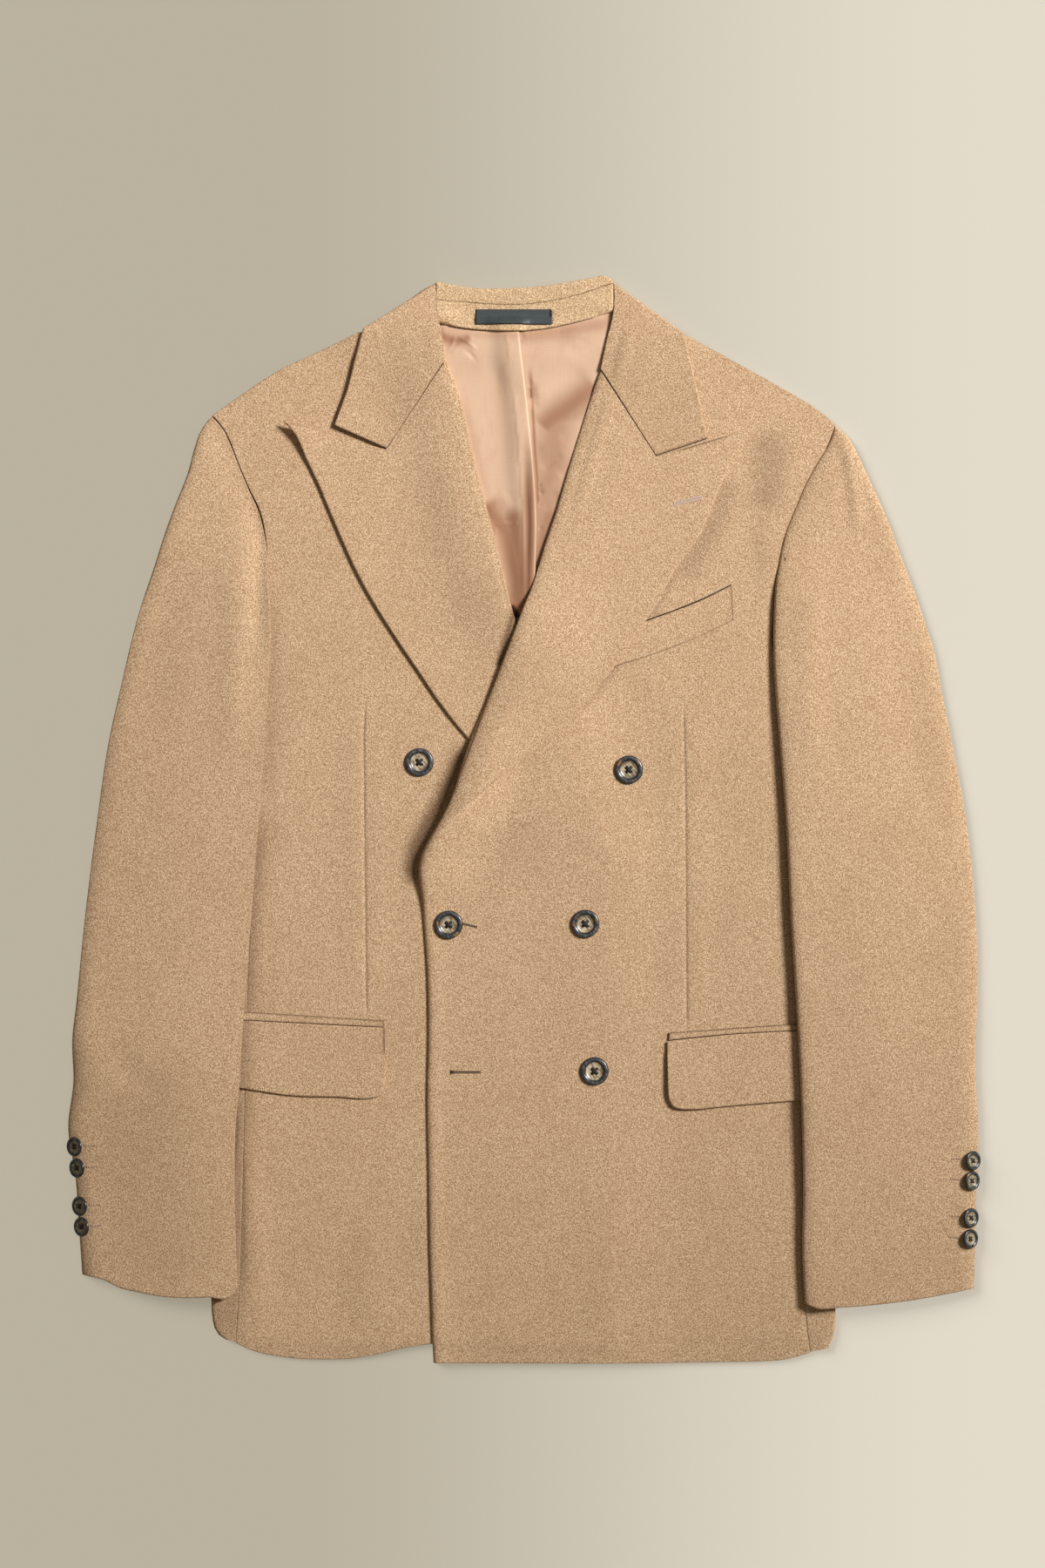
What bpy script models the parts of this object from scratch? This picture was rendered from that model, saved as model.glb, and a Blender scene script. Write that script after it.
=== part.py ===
"""Double breasted blazer, buttoned and laid flat on its back.

Frame: metres, +Z up. X runs to the wearer's left and Y from the hem to the collar. The origin
is the middle of the rectangle that the garment covers on the surface under it.

Tables are in millimetres. "across" is the distance from the middle line, plus to the wearer's
left, and "up" is the height above the lowest point of the hem. Every panel is a wall of cloth
between a lower and an upper grid of points. Its sections run from one edge to the other, and
its height comes from the pile of cloth that it is laid on.
"""

import math
from collections import namedtuple

import bmesh
import bpy
import numpy as np
from mathutils.bvhtree import BVHTree

MM = 0.001

# Driving sizes of the laid garment
LENGTH = 779.4
HALF_WIDTH = 326.3
GAP = 0.3
CLEAR = 0.5
CLOTH = 2.0
SATIN = 1.0
LABEL = 0.6

# Sides: the seam with the back, the play inside the fold and the turns of the fold's section
BACK_SEAM = 199.3
FOLD_PLAY = 1.2
FOLD_INSET = 0.2
FOLD_TURNS = (-60, -20, 20, 60)

# Sleeves: the hollow between the two halves, the wall of the top half and what its elbow edge
# adds, the columns of both halves, the arch of the top half's underside over its columns, the
# part of the width in which the head rises, and how far the under half ends inside the cuff
SLEEVE_HOLLOW = 3.8
SLEEVE_WALL = 2.5
ELBOW_EXTRA = 0.5
TOP_COLUMNS = np.array([0.0, 0.017, 0.04, 0.085, 0.18, 0.42, 0.68, 0.87, 0.95, 1.0])
UNDER_COLUMNS = [0.035, 0.2, 0.45, 0.75, 0.97]
SLEEVE_ARCH = np.array([0.0, 0.03, 0.56, 0.88, 1.0, 1.0, 1.0, 0.78, 0.3, 0.0])
SLEEVE_TURNS = 2
HEAD_RUN = 0.12
CUFF_STEP = 1.5

# Columns of the panels, as parts of their width
BACK_COLUMNS = [0.0, 0.2, 0.45, 0.72, 1.0]
LINING_COLUMNS = [0.0, 0.25, 0.5, 0.75, 1.0]
FRONT_UNDER_COLUMNS = [0.0, 0.08, 0.2, 0.34, 0.48, 0.6, 0.72, 0.84, 0.93, 1.0]
FRONT_OVER_COLUMNS = [0.0, 0.06, 0.14, 0.24, 0.36, 0.48, 0.58, 0.68, 0.8, 0.92, 1.0]
LAPEL_COLUMNS = [0.0, 0.14, 0.3, 0.5, 0.68, 0.84, 1.0]

# Collar: thickness of the folded edge behind the neck, and over its columns how far its top
# falls and how high its underside is
COLLAR_ROLL = 6.0
ROLL_COLUMNS = [0.0, 0.55, 0.85, 1.0]
ROLL_FALL = np.array([0.0, 0.0, 1.0, 2.6])
ROLL_UNDER = np.array([COLLAR_ROLL - CLOTH, 3.2, 2.4, CLOTH + GAP])

# Soft rolls that stand off what they lie on
FRONT_LIFT = 7.0
FRONT_LIFT_UP = 392.0
FRONT_LIFT_REACH = 75.0
PEAK_LIFT = 8.0
PEAK_LIFT_REACH = 60.0
PEAK_TIP = (-171.0, 674.0)
EDGE_RUN = 45.0

# Buttons
FRONT_BUTTON = 20.3
CUFF_BUTTON = 14.0
CUFF_TILT = 35.0
BUTTON_THICKNESS = 0.19  # of its size
HOLE_PITCH = 0.075
HOLE_RADIUS = 0.042
HOLE_SIDES = 6
BUTTON_PROFILE = [  # parts of the radius and of the thickness, from the dish round to the back
    (0.0, 0.62), (0.62, 0.62), (0.86, 1.0), (0.95, 0.9), (1.0, 0.55), (0.82, 0.12), (0.5, 0.0),
    (0.0, 0.0),
]

Finish = namedtuple("Finish", "name colour roughness metallic")
CAMEL = Finish("camel_flannel", (0.56, 0.38, 0.22), 0.92, 0.0)
COPPER = Finish("copper_satin", (0.60, 0.34, 0.19), 0.35, 0.0)
SLATE = Finish("slate_satin", (0.02, 0.03, 0.04), 0.5, 0.0)
HORN = Finish("dark_horn", (0.06, 0.045, 0.035), 0.25, 0.0)

# A section of a panel: its first edge, an optional point between, and its second edge
Section = namedtuple("Section", "first first_up last last_up via via_up", defaults=(None, None))
Spot = namedtuple("Spot", "across up")

BACK = [  # first: outer edge, last: centre back seam
    Section(-117.0, 738.0, -0.2, 738.0),
    Section(-142.5, 726.0, -0.2, 722.0),
    Section(-206.0, 690.5, -0.2, 690.0),
    Section(-223.0, 678.5, -0.2, 668.0),
    Section(-210.0, 656.0, -0.2, 650.0),
    Section(-196.0, 624.0, -0.2, 620.0),
    Section(-187.0, 578.0, -0.2, 578.0),
    Section(-186.0, 525.0, -0.2, 525.0),
    Section(-199.0, 478.0, -0.2, 478.0),
    Section(-199.0, 400.0, -0.2, 400.0),
    Section(-199.0, 320.0, -0.2, 320.0),
    Section(-199.0, 240.0, -0.2, 240.0),
    Section(-199.0, 160.0, -0.2, 160.0),
    Section(-199.0, 80.0, -0.2, 80.0),
    Section(-199.0, 17.0, -0.2, 14.0),
]

FRONT_UNDER = [  # wearer's right; first: shoulder, armhole and side seam, last: front edge
    Section(-118.0, 738.5, -60.0, 739.0),
    Section(-142.5, 726.5, -56.5, 722.0),
    Section(-174.5, 711.5, -51.0, 708.0),
    Section(-206.0, 690.8, -46.0, 693.0),
    Section(-222.6, 679.0, -42.5, 677.0),
    Section(-214.6, 669.3, -39.5, 665.0),
    Section(-203.0, 641.9, -34.0, 641.0),
    Section(-195.8, 625.5, -30.0, 625.0),
    Section(-189.2, 612.0, -26.0, 612.0),
    Section(-184.4, 590.0, -20.5, 590.0),
    Section(-184.0, 560.0, -13.0, 561.0),
    Section(-186.0, 528.0, -5.0, 530.0),
    Section(-193.0, 500.0, 8.0, 500.0),
    Section(-200.0, 478.0, 17.0, 478.0),
    Section(-194.5, 448.0, 30.0, 448.0),
    Section(-193.6, 414.0, 43.0, 414.0),
    Section(-193.8, 380.0, 58.0, 380.0),
    Section(-194.3, 353.0, 68.0, 353.0),
    Section(-195.6, 315.0, 68.0, 315.0),
    Section(-197.0, 277.5, 68.0, 277.5),
    Section(-198.4, 235.0, 68.0, 235.0),
    Section(-199.4, 196.0, 68.0, 196.0),
    Section(-201.0, 140.0, 68.0, 140.0),
    Section(-202.4, 90.0, 68.0, 90.0),
    Section(-203.8, 51.0, 68.0, 48.0),
    Section(-206.2, 14.6, 68.0, 9.0),
]

FRONT_OVER = [  # wearer's left; first: roll and front edge, last: shoulder, armhole, side seam
    Section(60.5, 735.5, 118.0, 735.5),
    Section(57.0, 722.0, 143.0, 722.0),
    Section(51.5, 704.0, 182.5, 700.0),
    Section(46.5, 688.0, 207.0, 685.5),
    Section(41.0, 669.5, 223.2, 672.5),
    Section(37.5, 659.0, 217.6, 657.5),
    Section(33.5, 646.0, 211.0, 646.8),
    Section(30.0, 634.0, 203.6, 633.8),
    Section(24.0, 614.0, 195.3, 615.0),
    Section(18.0, 596.0, 187.8, 596.2),
    Section(12.5, 577.5, 183.4, 577.5),
    Section(5.5, 557.0, 180.2, 557.5),
    Section(-3.1, 537.0, 179.0, 537.0),
    Section(-13.0, 510.0, 178.6, 512.0),
    Section(-19.4, 490.0, 186.0, 492.0),
    Section(-28.0, 470.0, 196.0, 472.0),
    Section(-37.5, 448.0, 194.6, 448.0),
    Section(-43.5, 430.0, 194.8, 430.0),
    Section(-50.0, 409.0, 195.1, 409.0),
    Section(-57.5, 392.5, 195.4, 392.5),
    Section(-68.1, 374.4, 195.7, 374.4),
    Section(-73.1, 363.8, 195.8, 363.8),
    Section(-75.0, 353.0, 196.0, 353.0),
    Section(-73.1, 336.0, 196.4, 336.0),
    Section(-70.5, 305.0, 197.0, 305.0),
    Section(-68.8, 277.5, 197.4, 277.5),
    Section(-68.2, 235.0, 198.0, 235.0),
    Section(-69.0, 190.0, 199.0, 190.0),
    Section(-68.1, 141.0, 200.0, 141.0),
    Section(-67.5, 90.0, 201.0, 90.0),
    Section(-66.2, 48.0, 202.0, 40.0),
    Section(-64.5, 2.0, 205.6, 7.5),
]

SIDE_UNDER = [  # wearer's right; first: folded edge, last: front seam
    Section(-211.0, 472.0, -199.6, 473.0),
    Section(-216.0, 440.0, -194.9, 440.0),
    Section(-218.5, 353.0, -194.6, 353.0),
    Section(-220.2, 277.5, -197.3, 277.5),
    Section(-221.5, 196.0, -199.7, 196.0),
    Section(-223.0, 110.0, -202.0, 110.0),
    Section(-223.8, 47.5, -204.2, 50.0),
    Section(-222.6, 30.0, -205.3, 35.0),
    Section(-219.4, 21.5, -206.0, 25.0),
    Section(-213.5, 16.2, -206.4, 16.0),
]

SIDE_OVER = [  # wearer's left; first: folded edge, last: front seam
    Section(210.0, 468.0, 196.9, 469.0),
    Section(215.0, 440.0, 195.2, 440.0),
    Section(217.5, 353.0, 196.4, 353.0),
    Section(219.5, 277.5, 197.8, 277.5),
    Section(221.0, 190.0, 199.4, 190.0),
    Section(222.6, 110.0, 201.1, 110.0),
    Section(223.8, 44.0, 202.3, 40.0),
    Section(223.0, 22.0, 204.0, 22.0),
    Section(218.8, 10.6, 205.9, 8.2),
]

LAPEL_UNDER = [  # wearer's right; first: outer edge, last: roll line
    Section(-171.2, 673.8, -56.4, 716.6, -98.4, 654.4),
    Section(-163.1, 664.4, -51.5, 706.0, -94.0, 648.0),
    Section(-155.0, 646.2, -46.4, 694.0, -89.0, 640.0),
    Section(-147.5, 630.6, -42.0, 678.0, -84.0, 632.0),
    Section(-140.5, 614.0, -37.0, 654.0, -78.0, 620.0),
    Section(-131.9, 593.8, -31.0, 630.0, -72.0, 600.0),
    Section(-120.6, 568.8, -23.5, 603.0, -66.0, 580.0),
    Section(-108.8, 546.9, -16.0, 572.0, -58.0, 556.0),
    Section(-91.9, 520.0, -8.5, 542.0, -48.0, 530.0),
    Section(-75.0, 495.0, 0.5, 514.0, -36.0, 504.0),
    Section(-58.8, 471.2, 12.0, 486.0, -23.0, 478.0),
    Section(-37.5, 445.0, 25.0, 456.0, -6.0, 450.0),
    Section(-12.0, 420.0, 40.0, 424.0, 14.0, 422.0),
    Section(24.0, 390.0, 54.0, 390.0, 39.0, 390.0),
    Section(54.0, 366.0, 63.0, 366.0, 58.5, 366.0),
]

LAPEL_OVER = [  # wearer's left; first: outer edge, last: roll line
    Section(160.5, 668.8, 55.2, 710.6, 95.2, 649.0),
    Section(155.0, 657.5, 51.2, 700.0, 91.0, 643.0),
    Section(149.4, 647.5, 46.6, 686.0, 86.5, 636.0),
    Section(142.0, 630.0, 42.0, 671.0, 81.0, 627.0),
    Section(135.0, 613.1, 37.5, 657.0, 76.0, 616.0),
    Section(127.0, 594.0, 31.5, 638.0, 70.0, 600.0),
    Section(108.1, 566.9, 24.0, 612.0, 61.0, 580.0),
    Section(93.8, 541.2, 16.0, 588.0, 51.0, 557.0),
    Section(82.5, 524.4, 8.5, 563.0, 42.0, 540.0),
    Section(66.2, 500.6, -1.8, 537.0, 30.0, 516.0),
    Section(47.5, 476.9, -11.5, 511.0, 17.0, 492.0),
    Section(18.1, 446.2, -27.5, 469.0, -5.0, 457.0),
    Section(-16.2, 420.0, -42.6, 428.5, -30.0, 424.5),
    Section(-45.0, 396.0, -54.5, 397.5, -50.0, 397.0),
    Section(-62.0, 380.5, -65.0, 378.0, -63.5, 379.2),
]

LEAF_UNDER = [  # collar leaf on the wearer's right; first: outer edge, last: neck and gorge
    Section(-114.4, 741.2, -62.0, 774.6),
    Section(-116.2, 736.0, -62.5, 764.0),
    Section(-118.6, 727.0, -61.6, 752.0),
    Section(-121.2, 716.9, -59.2, 740.0),
    Section(-126.2, 697.5, -56.2, 718.2),
    Section(-129.2, 689.0, -66.4, 702.8),
    Section(-131.9, 681.9, -77.0, 686.8),
    Section(-134.0, 676.2, -87.6, 671.0),
    Section(-135.6, 671.6, -98.4, 655.2),
]

LEAF_OVER = [  # collar leaf on the wearer's left; first: outer edge, last: neck and gorge
    Section(115.0, 737.4, 64.6, 774.2),
    Section(116.8, 730.0, 65.2, 764.0),
    Section(118.6, 722.0, 64.2, 751.0),
    Section(120.6, 713.8, 59.6, 732.0),
    Section(123.6, 701.0, 55.4, 712.0),
    Section(125.6, 692.0, 65.2, 696.8),
    Section(127.6, 683.0, 75.0, 681.4),
    Section(129.4, 674.0, 85.0, 665.8),
    Section(131.8, 662.4, 95.2, 650.1),
]

NECK_LABEL = [  # first: lower edge, last: upper edge
    Section(-33.8, 743.9, -33.8, 754.7),
    Section(20.3, 743.9, 20.3, 754.7),
]

COLLAR_FALL = [  # the part folded under; first: lower edge, last: folded edge
    Section(-113.0, 737.0, -112.0, 742.0),
    Section(-91.2, 733.0, -91.2, 755.4),
    Section(-63.0, 729.5, -63.0, 773.4),
    Section(-43.0, 728.0, -43.0, 770.8),
    Section(-5.0, 727.0, -5.0, 770.2),
    Section(27.0, 728.0, 27.0, 772.6),
    Section(50.0, 730.0, 50.0, 777.4),
    Section(62.0, 731.0, 62.0, 775.0),
    Section(79.4, 731.5, 79.4, 763.0),
    Section(95.0, 732.0, 95.0, 752.4),
    Section(113.0, 733.0, 112.5, 738.8),
]

COLLAR_TOP = [  # the roll behind the neck; first: seam to the stand, last: folded edge
    Section(-61.4, 761.6, -61.2, 774.8),
    Section(-43.1, 760.2, -43.1, 771.2),
    Section(-24.4, 758.8, -24.4, 770.0),
    Section(-5.0, 758.3, -5.0, 770.6),
    Section(14.4, 760.2, 14.4, 771.9),
    Section(40.0, 765.8, 40.0, 776.2),
    Section(52.0, 769.8, 52.0, 778.4),
    Section(58.1, 772.0, 58.1, 779.4),
]

COLLAR_STAND = [  # the inner band; first: lower edge, last: seam to the roll
    Section(-59.0, 744.4, -61.6, 761.2),
    Section(-43.1, 741.2, -43.1, 759.8),
    Section(-24.4, 739.4, -24.4, 758.4),
    Section(-3.8, 738.8, -5.0, 757.9),
    Section(14.4, 740.6, 14.4, 759.8),
    Section(33.1, 744.4, 40.0, 765.4),
    Section(48.0, 748.2, 52.0, 769.4),
    Section(59.0, 751.4, 58.1, 771.6),
]

LINING_UNDER = [  # wearer's right, with the pleat's fold; first: under the lapel, last: fold
    Section(-58.6, 743.4, -3.4, 738.2, -38.0, 739.7),
    Section(-67.0, 726.0, -1.6, 725.0, -34.0, 725.0),
    Section(-62.0, 702.0, 1.4, 700.0, -30.0, 701.0),
    Section(-54.0, 672.0, 4.4, 672.0, -25.0, 672.0),
    Section(-47.0, 638.0, 7.5, 638.0, -20.0, 638.0),
    Section(-39.0, 604.0, 9.4, 604.0, -15.0, 604.0),
    Section(-30.0, 573.0, 8.8, 573.0, -10.0, 573.0),
    Section(-18.0, 535.0, 8.0, 535.0, -5.0, 535.0),
]

LINING_OVER = [  # wearer's left; first: under the pleat, last: under the lapel
    Section(-12.0, 737.6, 58.6, 750.4, 24.0, 740.6),
    Section(-9.0, 725.0, 70.0, 727.0, 30.0, 725.0),
    Section(-6.0, 700.0, 64.0, 700.0, 28.0, 700.0),
    Section(-3.0, 672.0, 54.0, 672.0, 25.0, 672.0),
    Section(-0.5, 638.0, 43.0, 638.0, 21.0, 638.0),
    Section(1.4, 604.0, 33.0, 604.0, 17.0, 604.0),
    Section(1.8, 573.0, 24.0, 573.0, 13.0, 573.0),
    Section(1.0, 535.0, 14.0, 535.0, 7.0, 535.0),
]

SLEEVE_UNDER = [  # wearer's right; first: elbow edge, last: armhole, then the forearm edge
    Section(-225.6, 676.4, -223.0, 678.4),
    Section(-231.2, 668.1, -215.3, 669.4),
    Section(-236.2, 654.4, -209.1, 656.2),
    Section(-240.6, 638.0, -203.4, 641.9),
    Section(-250.0, 614.0, -196.2, 625.5),
    Section(-256.6, 596.0, -189.6, 612.0),
    Section(-264.0, 573.0, -184.8, 590.0),
    Section(-273.0, 546.0, -182.4, 560.0),
    Section(-280.8, 518.0, -180.4, 526.0),
    Section(-288.0, 487.0, -181.8, 493.0),
    Section(-296.9, 447.0, -184.4, 450.0),
    Section(-306.2, 384.0, -189.4, 386.0),
    Section(-314.4, 318.0, -194.4, 320.0),
    Section(-320.6, 257.0, -199.2, 256.0),
    Section(-323.4, 232.0, -201.0, 230.0),
    Section(-322.6, 202.0, -202.5, 202.0),
    Section(-326.3, 168.0, -205.6, 168.0),
    Section(-321.4, 136.0, -206.2, 136.0),
    Section(-318.2, 92.0, -205.6, 94.0),
    Section(-316.2, 63.8, -204.0, 55.4),
]

SLEEVE_OVER = [  # wearer's left; first: armhole, then the forearm edge, last: elbow edge
    Section(223.6, 672.0, 225.4, 670.4),
    Section(218.0, 657.5, 234.0, 662.0),
    Section(211.4, 646.8, 240.0, 651.0),
    Section(204.0, 633.8, 246.0, 638.0),
    Section(195.7, 615.0, 255.0, 618.5),
    Section(188.2, 596.2, 263.5, 598.5),
    Section(183.8, 577.5, 271.0, 577.5),
    Section(180.6, 557.5, 278.8, 557.0),
    Section(179.3, 537.0, 286.0, 536.0),
    Section(178.9, 512.0, 293.8, 512.0),
    Section(180.6, 477.5, 300.6, 477.5),
    Section(183.2, 446.0, 306.9, 446.0),
    Section(188.0, 384.0, 318.0, 384.0),
    Section(191.2, 319.4, 324.4, 319.4),
    Section(194.8, 262.0, 325.4, 262.0),
    Section(197.4, 214.0, 324.0, 214.0),
    Section(199.2, 165.0, 326.2, 165.0),
    Section(200.0, 121.9, 324.6, 120.0),
    Section(199.6, 77.0, 323.8, 77.0),
    Section(201.4, 43.6, 323.1, 53.8),
]

WELT = [  # breast pocket; first: lower edge, last: upper edge
    Section(56.0, 497.0, 56.0, 520.0),
    Section(84.0, 505.2, 84.0, 530.2),
    Section(107.0, 513.2, 106.0, 538.0),
    Section(130.0, 522.8, 128.5, 547.0),
    Section(150.6, 532.6, 149.0, 557.2),
]

JET_UNDER = [  # first: lower edge, last: upper edge
    Section(-214.0, 246.6, -214.0, 252.4),
    Section(-199.4, 246.0, -198.8, 251.9),
    Section(-150.0, 243.5, -150.0, 248.8),
    Section(-99.8, 241.0, -99.8, 245.6),
]

JET_OVER = [
    Section(104.0, 231.6, 104.4, 236.9),
    Section(146.9, 235.9, 146.9, 240.0),
    Section(195.0, 238.4, 195.0, 243.1),
    Section(214.0, 239.2, 214.0, 243.8),
]

FLAP_UNDER = [  # first: lower edge, last: upper edge
    Section(-215.0, 198.4, -215.0, 246.2),
    Section(-200.0, 196.6, -199.4, 245.6),
    Section(-168.1, 192.0, -168.1, 244.0),
    Section(-134.0, 190.8, -134.0, 242.2),
    Section(-106.0, 190.6, -106.0, 240.9),
    Section(-102.4, 191.6, -103.0, 240.8),
    Section(-100.2, 195.4, -101.0, 240.7),
    Section(-98.8, 212.0, -99.6, 240.6),
]

FLAP_OVER = [
    Section(103.4, 201.0, 102.6, 230.2),
    Section(104.2, 188.6, 104.4, 231.0),
    Section(106.6, 184.4, 107.0, 231.4),
    Section(111.0, 182.4, 111.0, 231.8),
    Section(118.1, 181.9, 118.1, 232.5),
    Section(146.9, 184.2, 146.9, 235.4),
    Section(195.0, 188.1, 195.0, 238.0),
    Section(214.0, 189.6, 214.0, 238.8),
]

# Hem of the fronts, as it dips between the seams
HEM_UNDER = [
    Spot(-206.2, 14.6), Spot(-193.8, 8.8), Spot(-180.6, 5.6), Spot(-161.9, 3.1),
    Spot(-142.5, 2.5), Spot(-123.1, 3.1), Spot(-104.4, 6.2), Spot(-91.2, 9.4), Spot(68.0, 9.0),
]
HEM_OVER = [Spot(-64.5, 0.3), Spot(140.0, 0.6), Spot(171.2, 1.2), Spot(187.5, 2.5), Spot(205.6, 7.5)]
CUFF_UNDER = [
    Spot(-316.2, 63.4), Spot(-300.0, 60.0), Spot(-288.1, 54.4), Spot(-276.9, 51.9),
    Spot(-260.0, 48.8), Spot(-226.2, 48.1), Spot(-207.5, 50.6), Spot(-204.0, 55.4),
]
CUFF_OVER = [
    Spot(201.4, 43.6), Spot(210.0, 40.0), Spot(224.4, 40.6), Spot(272.5, 45.0), Spot(323.1, 53.8),
]

FRONT_BUTTONS = [  # (across, up) of each button, from the top
    Spot(-74.4, 430.6), Spot(75.6, 425.3), Spot(-53.4, 314.4), Spot(44.4, 315.0), Spot(51.0, 209.6),
]
CUFF_BUTTONS_UNDER = [
    Spot(-319.6, 155.6), Spot(-317.8, 140.3), Spot(-316.0, 112.9), Spot(-314.6, 98.1),
]
CUFF_BUTTONS_OVER = [
    Spot(320.0, 145.6), Spot(319.4, 131.2), Spot(318.6, 104.7), Spot(318.2, 89.7),
]


def clear_scene():
    """Remove what the file opens with."""
    for thing in list(bpy.data.objects):
        bpy.data.objects.remove(thing)


def finish_material(finish):
    """Return the Principled material of a finish, made once."""
    material = bpy.data.materials.get(finish.name)
    if material is None:
        material = bpy.data.materials.new(finish.name)
        material.use_nodes = True
        shader = material.node_tree.nodes["Principled BSDF"]
        shader.inputs["Base Color"].default_value = (*finish.colour, 1.0)
        shader.inputs["Roughness"].default_value = finish.roughness
        shader.inputs["Metallic"].default_value = finish.metallic
    return material


def add_object(name, bm, finish, angle=50.0):
    """Turn a bmesh in millimetres into a named object in metres."""
    bmesh.ops.recalc_face_normals(bm, faces=bm.faces)
    bmesh.ops.scale(bm, vec=(MM, MM, MM), verts=bm.verts)
    mesh = bpy.data.meshes.new(name)
    bm.to_mesh(mesh)
    bm.free()
    mesh.shade_smooth()
    mesh.set_sharp_from_angle(angle=math.radians(angle))
    mesh.materials.append(finish_material(finish))
    thing = bpy.data.objects.new(name, mesh)
    bpy.context.scene.collection.objects.link(thing)
    return thing


class Pile:
    """The cloth laid so far, as the height of its top over a raster of the surface."""

    CELL = 2.0
    HIGH = 200.0

    def __init__(self):
        self.columns = int(2 * HALF_WIDTH / self.CELL) + 11
        self.rows = int(LENGTH / self.CELL) + 11
        self.left = -HALF_WIDTH - 5 * self.CELL
        self.low = -LENGTH / 2 - 5 * self.CELL
        self.height = np.zeros((self.columns, self.rows))

    def index(self, x, y):
        """Return the raster cell of a place."""
        column = int((x - self.left) / self.CELL)
        row = int((y - self.low) / self.CELL)
        return min(max(column, 0), self.columns - 1), min(max(row, 0), self.rows - 1)

    def lay(self, *things):
        """Add objects that lie side by side to the pile."""
        for thing in things:
            self.cover(thing)

    def cover(self, thing):
        """Raise the raster to the top of one object."""
        scale = 1.0 / MM
        points = [vertex.co * scale for vertex in thing.data.vertices]
        faces = [tuple(polygon.vertices) for polygon in thing.data.polygons]
        tree = BVHTree.FromPolygons(points, faces)
        first = self.index(min(p.x for p in points), min(p.y for p in points))
        last = self.index(max(p.x for p in points), max(p.y for p in points))
        for column in range(first[0], last[0] + 1):
            x = self.left + (column + 0.5) * self.CELL
            for row in range(first[1], last[1] + 1):
                y = self.low + (row + 0.5) * self.CELL
                hit = tree.ray_cast((x, y, self.HIGH), (0.0, 0.0, -1.0))[0]
                if hit is not None:
                    self.height[column, row] = max(self.height[column, row], hit.z)

    def seat(self, x, y, radius, slope):
        """Return how high a disc's centre rests, where it falls by a slope along X."""
        first, last = self.index(x - radius, y - radius), self.index(x + radius, y + radius)
        highest = 0.0
        for column in range(first[0], last[0] + 1):
            for row in range(first[1], last[1] + 1):
                off = self.left + (column + 0.5) * self.CELL - x
                far = math.hypot(off, self.low + (row + 0.5) * self.CELL - y)
                if far <= radius + self.CELL and self.height[column, row] > 0.0:
                    highest = max(highest, self.height[column, row] + slope * off)
        return highest

    def under(self, plan):
        """Return the top of the pile under each point of a plan, over its neighbours' reach."""
        rows, columns = plan.shape[:2]
        ground = np.zeros((rows, columns))
        for r in range(rows):
            for c in range(columns):
                near = plan[max(r - 1, 0):r + 2, max(c - 1, 0):c + 2].reshape(-1, 2)
                low = self.index(near[:, 0].min() - self.CELL, near[:, 1].min() - self.CELL)
                high = self.index(near[:, 0].max() + self.CELL, near[:, 1].max() + self.CELL)
                ground[r, c] = self.height[low[0]:high[0] + 1, low[1]:high[1] + 1].max()
        return ground


def section_points(section, fractions):
    """Return the points of one section at fractions of its length, by way of its middle point."""
    stops = [(section.first, section.first_up)]
    if section.via is not None:
        stops.append((section.via, section.via_up))
    stops.append((section.last, section.last_up))
    across, up = zip(*stops)
    place = np.linspace(0.0, 1.0, len(stops))
    return np.stack([np.interp(fractions, place, across), np.interp(fractions, place, up)], axis=-1)


def plan_of(sections, columns, mirror=False, edge=None):
    """Lay out the points of a panel: rows of sections, with an optional curve as its last edge."""
    fractions = np.asarray(columns if hasattr(columns, "__len__") else np.linspace(0, 1, columns + 1))
    plan = np.array([section_points(section, fractions) for section in sections])
    if edge is not None:
        spots = sorted(edge, key=lambda spot: spot.across)
        plan[-1, :, 1] = np.interp(plan[-1, :, 0], [s.across for s in spots], [s.up for s in spots])
    plan[..., 1] -= LENGTH / 2
    if mirror:
        plan[..., 0] *= -1.0
    return plan


def wall(name, plan, lower, upper, finish):
    """Close the wall between two heights over a plan of points."""
    rows, columns = plan.shape[:2]
    bm = bmesh.new()
    bmesh.ops.create_grid(bm, x_segments=columns - 1, y_segments=rows - 1, size=1.0)
    bm.verts.ensure_lookup_table()
    places = plan.reshape(-1, 2)
    low, high = np.asarray(lower).reshape(-1), np.asarray(upper).reshape(-1)
    for vertex, (x, y), z in zip(list(bm.verts), places, low):
        vertex.co = (x, y, z)
    count = len(places)
    bmesh.ops.extrude_face_region(bm, geom=list(bm.faces))
    bm.verts.ensure_lookup_table()
    lookup = {(round(v.co.x, 4), round(v.co.y, 4)): i for i, v in enumerate(bm.verts[:count])}
    for vertex in bm.verts[count:]:
        vertex.co.z = high[lookup[(round(vertex.co.x, 4), round(vertex.co.y, 4))]]
    return add_object(name, bm, finish)


def path_wall(name, outer, inner, finish):
    """Close the wall between an outer and an inner grid of points in space."""
    rows, columns = outer.shape[:2]
    bm = bmesh.new()
    bmesh.ops.create_grid(bm, x_segments=columns - 1, y_segments=rows - 1, size=1.0)
    mark = bm.verts.layers.int.new("place")
    for number, vertex in enumerate(bm.verts):
        vertex[mark] = number
        vertex.co = outer.reshape(-1, 3)[number]
    count = rows * columns
    bmesh.ops.extrude_face_region(bm, geom=list(bm.faces))
    bm.verts.ensure_lookup_table()
    for vertex in bm.verts[count:]:
        vertex.co = inner.reshape(-1, 3)[vertex[mark]]
    return add_object(name, bm, finish)


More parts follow.
